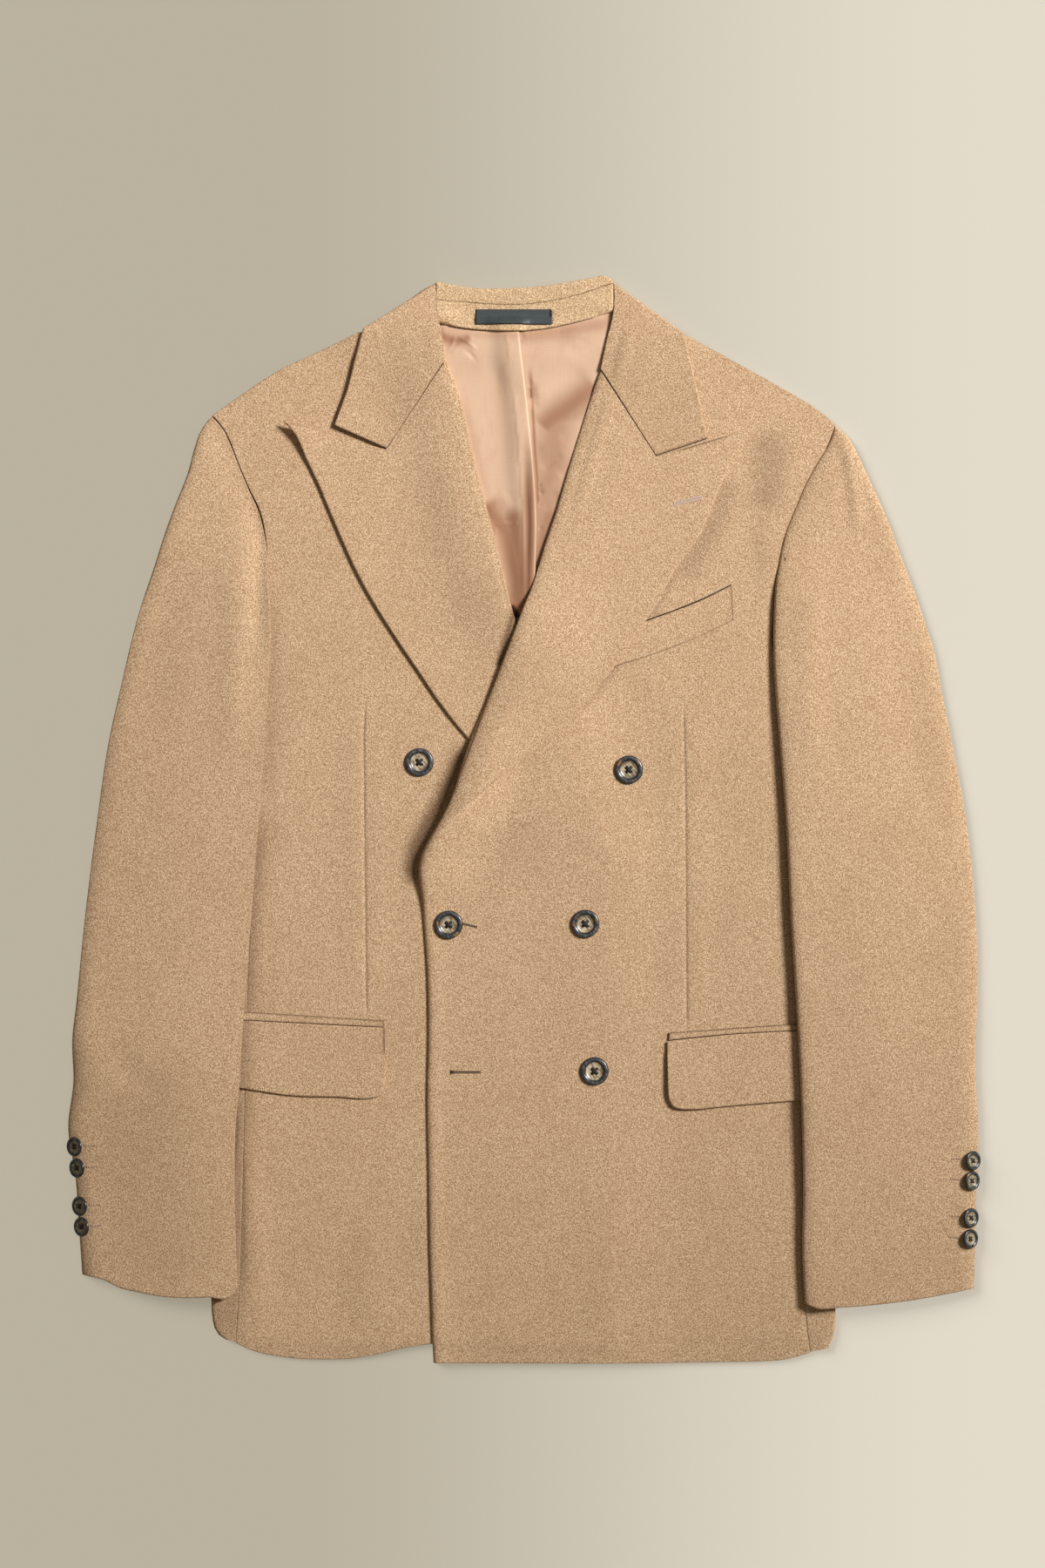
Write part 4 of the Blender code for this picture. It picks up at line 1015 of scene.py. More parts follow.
@dataclass
class Panel:
    """A panel of cloth, cut to its rows and laid on the pile.

    cell is the size of its faces, clear the gap that it keeps to what it lies on, and stiff how many
    cells of the pile it takes to bend over a step. foot is the curve of its last row, line its dart,
    and merge the run over which its break end sinks into what it lies on. Its shade paths paint
    shade into its colour along them: contact shade, cast shadows and shaded slopes.
    """

    CREASE_CLEAR = 0.1
    MERGE_DEPTH = 0.2
    DART_SHADE = 0.3
    DART_COLUMNS = (0.0, 0.35, 0.8, 1.6, 3.0)
    FOOT_RUN = 60.0
    MERGE_WIDTH = 16.0

    node: str
    rows: Sequence[Row]
    rims: dict[Side, Rim]
    finish: Finish = BODY_CLOTH
    cell: float = 3.0
    thickness: float = CLOTH
    clear: float = SEAM_GAP
    stiff: int = 3
    foot: Sequence[Spot] = ()
    creases: Sequence[Crease] = ()
    lifts: Sequence[Lift] = ()
    line: Crease | None = None
    # paths along which shade is painted into the colour
    painted_shades: Sequence[Crease] = ()
    merge: float = 0.0
    rests_on: Sequence[str] = ()
    bands: Sequence[float] = (0.0, 0.25, 0.6, 1.1, 1.9, 3.2)

    def knots(self) -> np.ndarray:
        """Return where each row stands along the panel's middle."""
        middle = np.array([((r.first + r.last) / 2, (r.first_up + r.last_up) / 2) for r in self.rows])
        return np.concatenate([[0.0], np.cumsum(np.linalg.norm(np.diff(middle, axis=0), axis=1))])

    def stations(self, knots: np.ndarray) -> np.ndarray:
        """Place the fine rows: close at both ends, and one on each corner.

        Args:
            knots: Where the panel's own rows stand.

        Returns:
            Where the fine rows stand along the panel's middle.
        """
        length = knots[-1]
        bands = np.array(self.bands) * min(1.0, length / (3.0 * self.bands[-1]))
        stops = [0.0, length]
        stops += [knots[i] for i, row in enumerate(self.rows) if row.corner is not Corner.NONE]
        even: list[float] = []
        for start, end in zip(sorted(stops), sorted(stops)[1:]):
            even += list(np.linspace(start, end, max(2, round((end - start) / self.cell) + 1)))
        inner = [s for s in even if bands[-1] + 0.5 < s < length - bands[-1] - 0.5]
        stations = np.unique(np.round([*bands, *inner, *(length - bands)], 6))
        stations[0] -= self.rims.get(Side.HEAD, HIDDEN).grow
        stations[-1] += self.rims.get(Side.FOOT, HIDDEN).grow
        return stations

    def guide(self, edge: Corner, at: np.ndarray) -> np.ndarray:
        """Read a smooth edge with its corners kept.

        Args:
            edge: The edge, or NONE for the line between the edges.
            at: Where along the panel's middle to read it.

        Returns:
            One place for each entry of at.
        """
        breaks = {i for i, row in enumerate(self.rows) if row.corner is edge}
        places = np.array([row[edge.value:edge.value + 2] for row in self.rows], float)
        return spline(self.knots(), places, breaks, at)

    def grow(self, guides: list[np.ndarray], side: Side, edge: int, inner: int) -> None:
        """Move an edge out by what its rim asks for.

        Args:
            guides: The panel's edges and the line between them, one of which is changed.
            side: The edge.
            edge: Its number among the guides.
            inner: The number of the guide beside it.
        """
        out = guides[edge] - guides[inner]
        step = out / np.linalg.norm(out, axis=1, keepdims=True)
        guides[edge] = guides[edge] + step * self.rims.get(side, HIDDEN).grow

    def spaced(self, width: np.ndarray, cells: int, near: np.ndarray, far: np.ndarray) -> np.ndarray:
        """Space the columns of each row: close at its ends, and evenly between them.

        Args:
            width: The length of each row.
            cells: How many cells lie between the close ones.
            near: The distances of the close columns at the first end.
            far: The same at the last end.

        Returns:
            For each row, the distances of its columns from its first end.
        """
        squeeze = np.minimum(1.0, width / (1.6 * (near[-1] + far[-1]) + TINY))[:, None]
        start, end = near * squeeze, width[:, None] - far[::-1] * squeeze
        part = np.linspace(0.0, 1.0, cells + 1)[1:-1]
        middle = start[:, -1:] + (end[:, :1] - start[:, -1:]) * part
        return np.concatenate([start, middle, end], axis=1)

    def plan(self) -> Plan:
        """Lay out the panel's places."""
        at = self.stations(self.knots())
        between = [] if self.rows[0].via is None else [Corner.NONE]
        guides = [self.guide(edge, at) for edge in (Corner.FIRST, *between, Corner.LAST)]
        self.grow(guides, Side.FIRST, 0, 1)
        self.grow(guides, Side.LAST, -1, -2)
        edge = np.array(self.bands)
        fine = np.array(self.DART_COLUMNS if self.line else (0.0,))
        parts = []
        for number, (a, b) in enumerate(zip(guides, guides[1:])):
            width = np.linalg.norm(b - a, axis=1)
            near = edge if number == 0 else fine
            far = edge if number == len(guides) - 2 else fine
            cells = max(2, round(float(width.max()) / self.cell))
            distance = self.spaced(width, cells, near, far)
            part = (distance / np.maximum(width, TINY)[:, None])[..., None]
            points = a[:, None] + (b - a)[:, None] * part
            parts.append(points if number == len(guides) - 2 else points[:, :-1])
        points = np.concatenate(parts, axis=1)
        return Plan(self.dipped(points) if self.foot else points)

    def dipped(self, points: np.ndarray) -> np.ndarray:
        """Bend the last rows to the curve of the foot."""
        across, up = np.array(sorted(self.foot), float).T
        at = np.clip(points[-1, :, 0], across[0], across[-1])
        bend = spline(across, up[:, None], set(), at)[:, 0] - points[-1, :, 1]
        rise = points[:, :, 1] - points[-1:, :, 1]
        points[..., 1] += bend * (1.0 - ease(rise / self.FOOT_RUN))
        return points

    def under(self, plan: Plan, pile: Pile) -> np.ndarray:
        """Return the height of the panel's underside."""
        low = pile.rest(plan.points, self.clear, self.stiff)
        for lift in self.lifts:
            low = low + lift.relief(plan.points)
        return low

    def ground(self, plan: Plan, pile: Pile) -> np.ndarray:
        """Return the height that no crease goes below."""
        return pile.rest(plan.points, self.CREASE_CLEAR, 0)

    def formed(self, plan: Plan, pile: Pile) -> tuple[np.ndarray, np.ndarray, np.ndarray]:
        """Shape the panel.

        Args:
            plan: Its places.
            pile: What it lies on.

        Returns:
            The heights of its underside and of its top, and its painted shade, seam lines included.
        """
        low = self.under(plan, pile)
        relief = sum((crease.relief(plan.points) for crease in self.creases), np.zeros(low.shape))
        shade, full = np.zeros(low.shape), np.ones(low.shape)
        for side, rim in self.rims.items():
            reach = plan.reach[side]
            full = np.minimum(full, rounded(rim.left, reach / rim.run))
            low = low - rim.bend * (1.0 - quarter(reach / rim.bend_run))
            shade = np.maximum(shade, rim.shade * np.exp(-((reach / rim.shade_run) ** 2)))
        low = np.maximum(low + relief, self.ground(plan, pile))
        if self.merge:
            depth = self.thickness + self.clear + self.MERGE_DEPTH
            low = low - depth * (1.0 - ease(plan.reach[Side.FOOT] / self.merge)) * (
                1.0 - ease(plan.reach[Side.LAST] / self.MERGE_WIDTH))
        top = low + self.thickness * full
        if self.line:
            sink = self.line.relief(plan.points)
            top = top + sink
            shade = np.maximum(shade, self.DART_SHADE * np.clip(sink / self.line.height, 0.0, 1.0) ** 2)
        # the shade painted along the shade paths
        painted_shade = np.max([np.zeros(low.shape), *(tone.relief(plan.points) for tone in self.painted_shades)], axis=0)
        return low, top, np.clip(np.maximum(shade, painted_shade), 0.0, 1.0)

    def build(self, pile: Pile) -> tuple[bpy.types.Object, Plan, np.ndarray]:
        """Make the panel.

        Args:
            pile: What it lies on. The panel isn't added to it.

        Returns:
            The piece, its plan and the heights of its top.
        """
        plan = self.plan()
        low, top, shade = self.formed(plan, pile)
        outer = np.concatenate([plan.points, top[..., None]], axis=-1)
        inner = np.concatenate([plan.points, low[..., None]], axis=-1)
        piece = shell(f"cloth_{self.node}", self.node, outer, inner, shade)
        self.finish.dress(piece)
        plan.size
        plan.area
        log.info("%s: %d faces, up to %.1f mm", piece.name, len(piece.data.polygons), top.max())
        return piece, plan, top


def lay_out(pile: Pile, *panels: Panel) -> list[bpy.types.Object]:
    """Build panels that lie side by side and add them to the pile.

    Args:
        pile: What they lie on.
        panels: The panels.

    Returns:
        Their pieces.
    """
    built = [panel.build(pile) for panel in panels]
    for _, plan, top in built:
        pile.lay(plan.points, top)
    return [piece for piece, _, _ in built]


class RolledFront(Panel):
    """The over front: its roll stands off the front below at the break of the lapel."""

    EDGE = 1.1
    EDGE_RUN = 9.0
    BREAK_UP = 392.0
    CHEST_UP = 510.0
    CHEST_RUN = 50.0
    REACH = 75.0
    HEIGHT = 9.0
    RUN = 45.0
    TURN = 12.0
    TURN_LEAST = 0.6
    CHEST_STIFF = 3

    def under(self, plan: Plan, pile: Pile) -> np.ndarray:
        """Return the height of the underside, with the roll."""
        up, reach = plan.points[..., 1], plan.reach[Side.FIRST]
        chest = ease((up - self.CHEST_UP) / self.CHEST_RUN)
        close = pile.rest(plan.points, self.clear, self.CHEST_STIFF)
        low = super().under(plan, pile) * (1.0 - chest) + close * chest
        along = hill((up - self.BREAK_UP) / self.REACH)
        turned = rounded(self.TURN_LEAST, reach / self.TURN)
        edge = self.EDGE * np.exp(-((reach / self.EDGE_RUN) ** 2)) * (1.0 - chest)
        return low + edge + self.HEIGHT * along * hill(reach / self.RUN) * turned


@dataclass
class TopSleeve(Panel):
    """The top half of a sleeve: flush with the front at the armhole, and crowned over the arm below.

    The crown is highest at the forearm edge, which lies on the front, and falls away evenly to the
    elbow edge, which lies on the surface.
    """

    joined_up: float = 590.0
    joined_run: float = 60.0
    clear_free: float = 0.5
    elbow_low: float = 3.2
    elbow_run: float = 11.0
    elbow_least: float = 0.3
    cuff_low: float = 2.2
    cuff_up: float = 290.0
    cuff_run: float = 90.0
    crown: float = 8.0
    crown_head: float = 0.55
    crown_run: float = 280.0
    flatter: float = 0.40
    flatter_run: float = 230.0
    head: float = 3.6
    head_run: float = 22.0
    head_edge: float = 8.0
    head_least: float = 0.35
    inset: float = 2.2

    def under(self, plan: Plan, pile: Pile) -> np.ndarray:
        """Return the height of the underside."""
        up, elbow, forearm = plan.points[..., 1], plan.reach[Side.FIRST], plan.reach[Side.LAST]
        part = elbow / np.maximum(elbow + forearm, TINY)
        crown = self.crown * (1.0 - self.flatter * (1.0 - ease(plan.reach[Side.FOOT] / self.flatter_run)))
        rise = ease((self.joined_up - up) / self.crown_run)
        crown = crown * (self.crown_head + (1.0 - self.crown_head) * rise)
        low = self.elbow_low + self.cuff_low * ease((self.cuff_up - up) / self.cuff_run)
        arch = low + crown * (1.0 - (1.0 - part) ** 2)
        arch = arch * rounded(self.elbow_least, elbow / self.elbow_run)
        free = np.maximum(pile.rest(plan.points, self.clear_free, self.stiff), arch)
        out = plan.points[:, -1] - plan.points[:, -2]
        edge = plan.points[:, -1] + out / np.linalg.norm(out, axis=1, keepdims=True) * self.inset
        seam = np.maximum(pile.height_at(edge), CLOTH)[:, None] - CLOTH
        level = seam + (self.head - seam) * ease(forearm / self.head_run)
        joined = level * rounded(self.head_least, elbow / self.head_edge)
        blend = self.freed(plan)
        return joined * (1.0 - blend) + free * blend

    def ground(self, plan: Plan, pile: Pile) -> np.ndarray:
        """Return the height that no crease goes below: none where the sleeve is joined."""
        return super().ground(plan, pile) * self.freed(plan)

    def freed(self, plan: Plan) -> np.ndarray:
        """Return how far each place has left the armhole seam, from 0 to 1."""
        return ease((self.joined_up - plan.points[..., 1]) / self.joined_run)


@dataclass
class Sides:
    """The side bodies, each folded round the side of the garment.

    contact is the shade of the one on the wearer's right, which lies deep between front and sleeve.
    """

    back_seam: float = 199.3
    seam_top: float = 4.3
    fold_top: float = 4.6
    contact_shade: float = 0.34
    seam_shade: float = 0.05
    seam_run: float = 0.55
    seam_drop: float = 0.35
    seam_edge: float = 0.9
    end_run: float = 1.1
    end_least: float = 0.3
    upper_from: float = 3.0
    arc_steps: int = 9
    grow: float = 0.25
    inset: float = 2.0
    across_steps: int = 8
    cell: float = 6.0

    def build(self, pile: Pile) -> None:
        """Make both side bodies."""
        grids = [self.make(pile, hand, rows) for hand, rows in zip(Hand, (SIDE_UNDER, SIDE_OVER))]
        for outer in grids:
            half = outer.shape[1] // 2
            pile.lay(outer[:, half:, :2], outer[:, half:, 2])

    def make(self, pile: Pile, hand: Hand, rows: Sequence[Row]) -> np.ndarray:
        """Make one side body.

        Args:
            pile: The pile, with the fronts on it.
            hand: The wearer's side.
            rows: Its rows.

        Returns:
            Its outer face.
        """
        node, sign = f"side_{hand.value}", hand.sign
        panel = Panel(node, rows, {}, cell=self.cell)
        at = panel.stations(panel.knots())
        turn, seam = panel.guide(Corner.FIRST, at), panel.guide(Corner.LAST, at)
        seam[:, 0] -= sign * self.grow
        joined = pile.height_at(seam - np.array([sign * self.inset, 0.0]))
        tops = np.where(joined > CLOTH, joined, self.seam_top)
        length = at[-1]
        faces: list[list[list[Point]]] = [[], []]
        for (turn_x, turn_up), (seam_x, seam_up), s, top in zip(turn, seam, at, tops):
            rounding = float(rounded(self.end_least, min(s, length - s) / self.end_run))
            for face, inset in zip(faces, (0.0, CLOTH * rounding)):
                face.append(self.section((abs(turn_x), turn_up), (abs(seam_x), seam_up, top), inset, sign))
        outer, inner = np.array(faces[0]), np.array(faces[1])
        seam_reach = np.abs(np.abs(outer[..., 0]) - np.abs(seam[:, None, 0]))
        line = self.seam_shade * np.exp(-((seam_reach / self.seam_run) ** 2))
        upper = np.where(outer[..., 2] > self.upper_from, line, 0.0)
        # the side body on the wearer's right gets its painted contact shade
        shade = np.maximum(upper, self.contact_shade * (sign < 0.0))
        piece = shell(f"cloth_{node}", node, outer, inner, shade)
        BODY_CLOTH.dress(piece)
        log.info("%s: %d faces", piece.name, len(piece.data.polygons))
        return outer

    def section(self, fold_at: Spot, seam: Point, inset: float, sign: float) -> list[Point]:
        """Return one section, from the back seam round the fold to the front seam.

        Args:
            fold_at: The folded edge, from the middle line.
            seam: The front seam, from the middle line.
            inset: How far the section lies inside the outer face.
            sign: The side of the garment.

        Returns:
            Its points.
        """
        (edge, up), (seam_x, seam_up, seam_top) = fold_at, seam
        half = self.fold_top / 2
        turn = edge - half
        parts = np.linspace(0.0, 1.0, self.across_steps + 1)
        points = [(self.back_seam + (turn - self.back_seam) * part, seam_up + (up - seam_up) * part, inset)
                  for part in parts[:-1]]
        for part in np.linspace(-0.5, 0.5, self.arc_steps):
            angle = math.pi * float(part)
            radius = half - inset * 0.999
            points.append((turn + radius * math.cos(angle), up, half + radius * math.sin(angle)))
        for step in parts[1:]:
            part = 1.0 - (1.0 - float(step)) ** 2
            x = turn + (seam_x - turn) * part
            top = self.fold_top + (seam_top - self.fold_top) * float(ease(part))
            sunk = 1.0 - float(quarter(abs(x - seam_x) / self.seam_edge))
            drop = 0.0 if inset else self.seam_drop * sunk
            points.append((x, up + (seam_up - up) * part, top - inset - drop))
        return [(sign * x, y, z) for x, y, z in points]


class Backs:
    """The folded collar fall and the two backs, joined at the centre seam."""

    def build(self, pile: Pile) -> None:
        """Lay the fall and the backs on the surface."""
        lay_out(pile, Panel(
            "collar_fall", COLLAR_FALL, rims_of(BLUFF, BLUFF, BLUFF, BLUFF), clear=0.0, stiff=0))
        lay_out(pile, *(
            Panel(node, rows, rims_of(HIDDEN, HIDDEN, foot=BLUFF), cell=6.0, rests_on=("collar_fall",))
            for node, rows in (("back_right", BACK_UNDER), ("back_left", BACK_OVER))))


@dataclass
class LiningPanel(Panel):
    """Satin that swells in the opening and lies flat where it is covered."""

    covered: Side = Side.LAST
    swell: float = 1.8
    swell_runs: tuple[float, float, float] = (6.0, 11.0, 30.0)

    def under(self, plan: Plan, pile: Pile) -> np.ndarray:
        """Return the height of the underside."""
        edge, head, foot = self.swell_runs
        free = ease(plan.reach[self.covered] / edge) * ease(plan.reach[Side.HEAD] / head)
        return super().under(plan, pile) + self.swell * free * ease(plan.reach[Side.FOOT] / foot)


@dataclass
class Lining:
    """The satin in the neck opening, with its centre pleat."""

    thickness: float = 0.8
    creases_right: tuple[Crease, ...] = folds(
        (0.5, 0.9, 4, (-54.8, 722.4), (-51, 729), (-48.6, 737)),
        (0.6, 1, 4, (-52.7, 722.4), (-45, 729.5), (-36, 733.8)),
        (0.55, 1, 4, (-46.5, 734.6), (-40, 731), (-33, 725.6)),
        (-0.5, 0.9, 4, (-51, 730.2), (-45, 731.4), (-38.2, 730.2)),
        (-0.5, 1.4, 5, (-44, 727), (-38, 723), (-33, 717)),
        (-0.13, 4.6, 12, (-27.5, 727.5), (-19.4, 706.9), (-12.8, 688), (-7, 652)),
        (0.1, 4.6, 12, (-20, 730), (-12, 706.9), (-5, 682)),
        (0.25, 8, 20, (-44, 700), (-34, 668), (-26, 632)),
        (0.55, 6, 6, (-27, 608), (-18, 616), (-8, 620)),
        (-0.4, 6, 8, (-24, 596), (-12, 596), (0, 604)),
        (0.45, 0.75, 1.6, (-20.1, 599.2), (-13, 601.5), (-8, 600.6), (-3.5, 602.4)),
        (0.35, 0.8, 1.5, (-19.8, 599), (-20.4, 594)),
        (-0.5, 4.2, 24, (-1.5, 660), (1.5, 628), (2.5, 590), (1.5, 560)),
        (0.45, 3, 26, (5, 672), (7, 628), (8.2, 600), (7.2, 560)),
    )
    creases_left: tuple[Crease, ...] = folds(
        (0.5, 7, 4, (-2, 740), (30, 744), (58, 752)),
        (-0.65, 9, 12, (5.6, 664), (17, 687), (30.6, 699), (46, 714)),
        (0.45, 9, 10, (6, 690), (18, 708), (38, 726)),
        (0.45, 8, 12, (24, 640), (38, 676), (52, 700)),
        (-0.7, 2.4, 5, (6, 704), (7.5, 692), (8.5, 682)),
        (0.35, 4, 6, (10, 655), (20, 660), (30, 664)),
        (-0.45, 3.4, 5, (12, 640), (20, 646), (29, 652)),
        (0.5, 3.6, 5, (12, 624), (20, 631), (28, 638)),
        (-0.45, 3.6, 5, (12, 613), (19, 618), (26, 624)),
        (-0.45, 1, 1, (10.5, 629), (13.5, 629.4)),
        (-0.5, 1.1, 1, (11, 624), (14.5, 623.6)),
        (-0.45, 1, 1, (11, 614.6), (14.5, 615.2)),
        (-0.4, 1, 1, (10.5, 598), (14, 598.4)),
        (0.45, 4, 8, (20, 600), (16, 580), (12, 560)),
    )
    # Shade painted into the wearer's right half of the satin: under the band, in its folds and valleys,
    # along the pleat, and the near black gap below the lapels where there is only shade.
    painted_shades_right: tuple[Crease, ...] = folds(
        (0.3, 3, 2, (-60, 740), (-32, 736.5), (0, 735.5)),
        (0.74, 4.6, 4, (-62, 737), (-52, 732.5), (-43, 732.5), (-36, 735)),
        (0.1, 5, 18, (-18, 708), (-10, 668), (-8, 640)),
        (0.16, 3, 30, (-46, 704), (-34, 655), (-22, 604)),
        (0.72, 9, 8, (-29, 620), (-22, 607), (-12, 594), (-4, 560), (-2, 530)),
        (0.74, 9, 12, (-10, 617), (-7, 600), (-2, 575), (0, 530)),
        (0.84, 4.4, 62, (4.6, 676), (5.6, 652), (4, 630), (4.6, 600), (4, 560), (0, 500)),
        (1, 7, 8, (-12, 548), (-5, 535), (-8, 515)),
    )
    # Shade painted into the wearer's left half: under the band, its dark diagonal valley, the pinches beside
    # the pleat, and the gap below the lapels.
    painted_shades_left: tuple[Crease, ...] = folds(
        (0.46, 6, 4, (-4, 736), (30, 738.5), (66, 746)),
        (0.7, 10, 6, (11, 668), (21, 677), (34, 686), (54, 701)),
        (0.5, 9, 6, (26, 676), (40, 684), (50, 690)),
        (0.5, 15, 10, (24, 682), (21, 655), (16, 620), (12, 585), (6, 535)),
        (0.56, 3.4, 3, (17, 638), (24, 648)),
        (0.66, 9, 16, (22, 622), (16, 597), (10, 565), (4, 530)),
        (0.9, 1.9, 3, (5.2, 701), (6.2, 689)),
        (0.78, 1.4, 14, (4.6, 716), (6.4, 690), (8.2, 656), (10, 633), (11.2, 606)),
        (0.7, 0.9, 0.6, (10.4, 629), (13, 629.2)),
        (0.7, 0.9, 0.6, (11, 624), (14, 623.8)),
        (0.76, 0.9, 0.6, (10.8, 614.6), (13.4, 615)),
        (1, 7, 8, (12, 548), (2, 534), (-4, 515)),
    )

    def build(self, pile: Pile) -> None:
        """Lay the satin on the backs, the pleat's fold on top."""
        pleat = Rim(run=1.2, bend=0.6, bend_run=1.6)
        for side, rows, covered, last, creases, painted_shades, below in (
            ("left", LINING_OVER, Side.LAST, HIDDEN, self.creases_left, self.painted_shades_left,
             ("back_left", "back_right")),
            ("right", LINING_UNDER, Side.FIRST, pleat, self.creases_right, self.painted_shades_right,
             ("back_right", "lining_left")),
        ):
            lay_out(pile, LiningPanel(
                f"lining_{side}", rows, rims_of(HIDDEN, last), Satin(), cell=1.2, thickness=self.thickness,
                covered=covered, creases=creases, painted_shades=painted_shades, rests_on=below))


@dataclass
class BandPanel(Panel):
    """A part of the collar band: level behind the neck, and flush with the leaves at its ends."""

    ends: Spot = (-65.0, 67.4)
    ends_up: Spot = (748.0, 767.0)
    free: float = 52.0
    height: float = 4.0
    lowest: float = 2.2
    level_half: float = 38.0
    fall_run: float = 25.0

    def ground(self, plan: Plan, pile: Pile) -> np.ndarray:
        """Return the height that it doesn't go below: none beside the leaves."""
        return super().ground(plan, pile) * (np.abs(plan.points[..., 0]) < self.free)

    def under(self, plan: Plan, pile: Pile) -> np.ndarray:
        """Return the height of the underside."""
        across, up = plan.points[..., 0], plan.points[..., 1]
        end = np.where(across > 0.0, self.ends[1], self.ends[0])
        beside = np.stack([end, np.clip(up, *self.ends_up)], -1)
        leaf = np.maximum(pile.height_at(beside) - CLOTH, self.lowest)
        part = ease((np.abs(across) - self.level_half) / self.fall_run)
        return self.height * (1.0 - part) + leaf * part


@dataclass
class CollarStand(BandPanel):
    """The flat band inside the neck, with its foot over the lining."""

    inside: float = 46.0
    inside_run: float = 10.0
    lining_clear: float = 0.2
    sunk: float = 0.4

    def under(self, plan: Plan, pile: Pile) -> np.ndarray:
        """Return the height of the underside: over the lining's edge, and up to the leaves."""
        inside = 1.0 - ease((np.abs(plan.points[..., 0]) - self.inside) / self.inside_run)
        lining = (pile.rest(plan.points, self.lining_clear, 1) - self.sunk) * inside
        return np.maximum(super().under(plan, pile), lining)


@dataclass
class CollarRoll(BandPanel):
    """The folded edge behind the neck."""

    fold_run: float = 5.0
    fold_low: float = 2.4

    def under(self, plan: Plan, pile: Pile) -> np.ndarray:
        """Return the height of the underside, falling at the fold."""
        level = super().under(plan, pile)
        return level - (level - self.fold_low) * (1.0 - quarter(plan.reach[Side.LAST] / self.fold_run))


@dataclass
class CollarBand:
    """The roll behind the neck, the stand under it and the bare label.

    fringe is where the label's loose strands start, and fringe_ups the lowest and highest of them.
    """

    fringe: Spot = (20.3, 749.3)
    fringe_ups: Spot = (744.2, 754.2)
    strands: int = 26
    strand_radius: float = 0.14

    def build(self, pile: Pile) -> None:
        """Lay the band on the backs, and sew the label to it."""
        cloth = Flannel(
            tone="band", grain=4.0, deep=(0.36, 0.215, 0.10), middle=(0.575, 0.40, 0.235),
            light=(0.86, 0.66, 0.43))
        foot = Rim(run=1.2, left=0.3, bend=3.0, bend_run=6.5)
        lay_out(
            pile,
            CollarRoll("collar_roll", COLLAR_TOP, rims_of(SEAM, BLUFF, SEAM, SEAM), cloth, cell=2.0,
                       rests_on=("back_left", "back_right")),
            CollarStand("collar_stand", COLLAR_STAND, rims_of(foot, SEAM, SEAM, Rim(run=2.2, left=0.2)),
                        cloth, cell=2.0, rests_on=("lining_left", "lining_right")))
        self.label(pile)

    def label(self, pile: Pile) -> None:
        """Make the bare label with its fringed end."""
        edge = Rim(run=0.5, shade=0.9)
        piece = lay_out(pile, Panel(
            "neck_label", NECK_LABEL, rims_of(edge, edge, edge, edge), LabelSatin(), cell=0.9,
            thickness=0.6, stiff=0, rests_on=("collar_stand",)))[0]
        height, end = pile.top(*self.fringe, 1.0), self.fringe[0]
        bm = bmesh.new()
        for number, up in enumerate(np.linspace(*self.fringe_ups, self.strands)):
            reach = 0.9 + 0.5 * math.sin(number * 2.4) + 0.3 * math.cos(number * 5.1)
            sway = math.sin(number * 3.7)
            strand(bm, [
                (end - 1.0, up, height - 0.1), (end + 0.4 * reach, up + 0.15 * sway, height - 0.15),
                (end + reach, up + 0.35 * sway, height - 0.5)], self.strand_radius)
        fringe = place_object("label_fringe", bm)
        LabelSatin().dress(fringe)
        fringe.parent = piece
        log.info("label_fringe: %d strands", self.strands)


class UnderFront:
    """The wearer's right front, lapel and collar leaf."""

    def build(self, pile: Pile) -> None:
        """Lay the front, then its lapel and leaf."""
        dart = fold(-0.55, 0.9, 14, (-113.1, 478), (-114.4, 448), (-112.4, 246))
        creases = folds(
            (-1.6, 9, 60, (-186, 600), (-176, 520), (-181, 420)),
            (-1.2, 7, 50, (-192, 470), (-188, 380), (-190, 250)),
            (0.5, 9, 40, (-122, 470), (-121, 360), (-120, 250)),
            (0.4, 8, 40, (-104, 460), (-104, 360), (-105, 250)),
            (-1, 16, 50, (-150, 130), (-152, 60), (-154, 0)),
            (0.9, 15, 50, (-110, 120), (-108, 50), (-100, 0)),
            (0.8, 9, 40, (-205, 180), (-192, 90), (-190, 10)),
        )
        # The front's shade paths paint contact shade beside the sleeve and the shadow cast by the over
        # front's roll.
        lay_out(pile, Panel(
            "front_right", FRONT_UNDER, rims_of(SEAM, TURNED, foot=HEM), foot=HEM_UNDER, line=dart,
            creases=creases, stiff=4, rests_on=("back_right", "lining_right"), painted_shades=folds(
                (0.16, 7, 30, (-188, 575), (-180, 530), (-180, 450), (-187, 390)),
                (0.42, 8.5, 40, (-188, 410), (-195, 330), (-200, 250), (-203, 170), (-205, 95), (-204, 40)),
                (0.8, 5, 14, (-42, 446), (-60, 404), (-77.5, 372), (-81.5, 356), (-78, 338)),
            )))
        # The lapel's shade path paints the shadow that the over lapel casts on it.
        lapel = Panel(
            "lapel_right", LAPEL_UNDER, rims_of(BLUFF, ROLL, SEAM), Flannel(grain=-24.0), cell=2.6, stiff=5,
            lifts=(Lift((-172, 675), 4.4, 40.0),), rests_on=("front_right",),
            painted_shades=folds((0.85, 2.6, 4, (-5, 545), (-9, 529), (-13, 516), (-19, 498))),
            creases=folds(
                (0.4, 12, 30, (-168, 668), (-131.9, 593.8), (-91.9, 520), (-37.5, 445)),
                (0.3, 16, 50, (-60, 690), (-48, 620), (-20, 530)),
            ))
        leaf = Panel(
            "collar_leaf_right", LEAF_UNDER, rims_of(BLUFF, SEAM, BLUFF, NOTCH), Flannel(grain=20.0),
            cell=2.4, clear=0.5, stiff=8, lifts=(Lift((-133, 676), 1.2, 46.0),), rests_on=("front_right",))
        lay_out(pile, lapel, leaf)


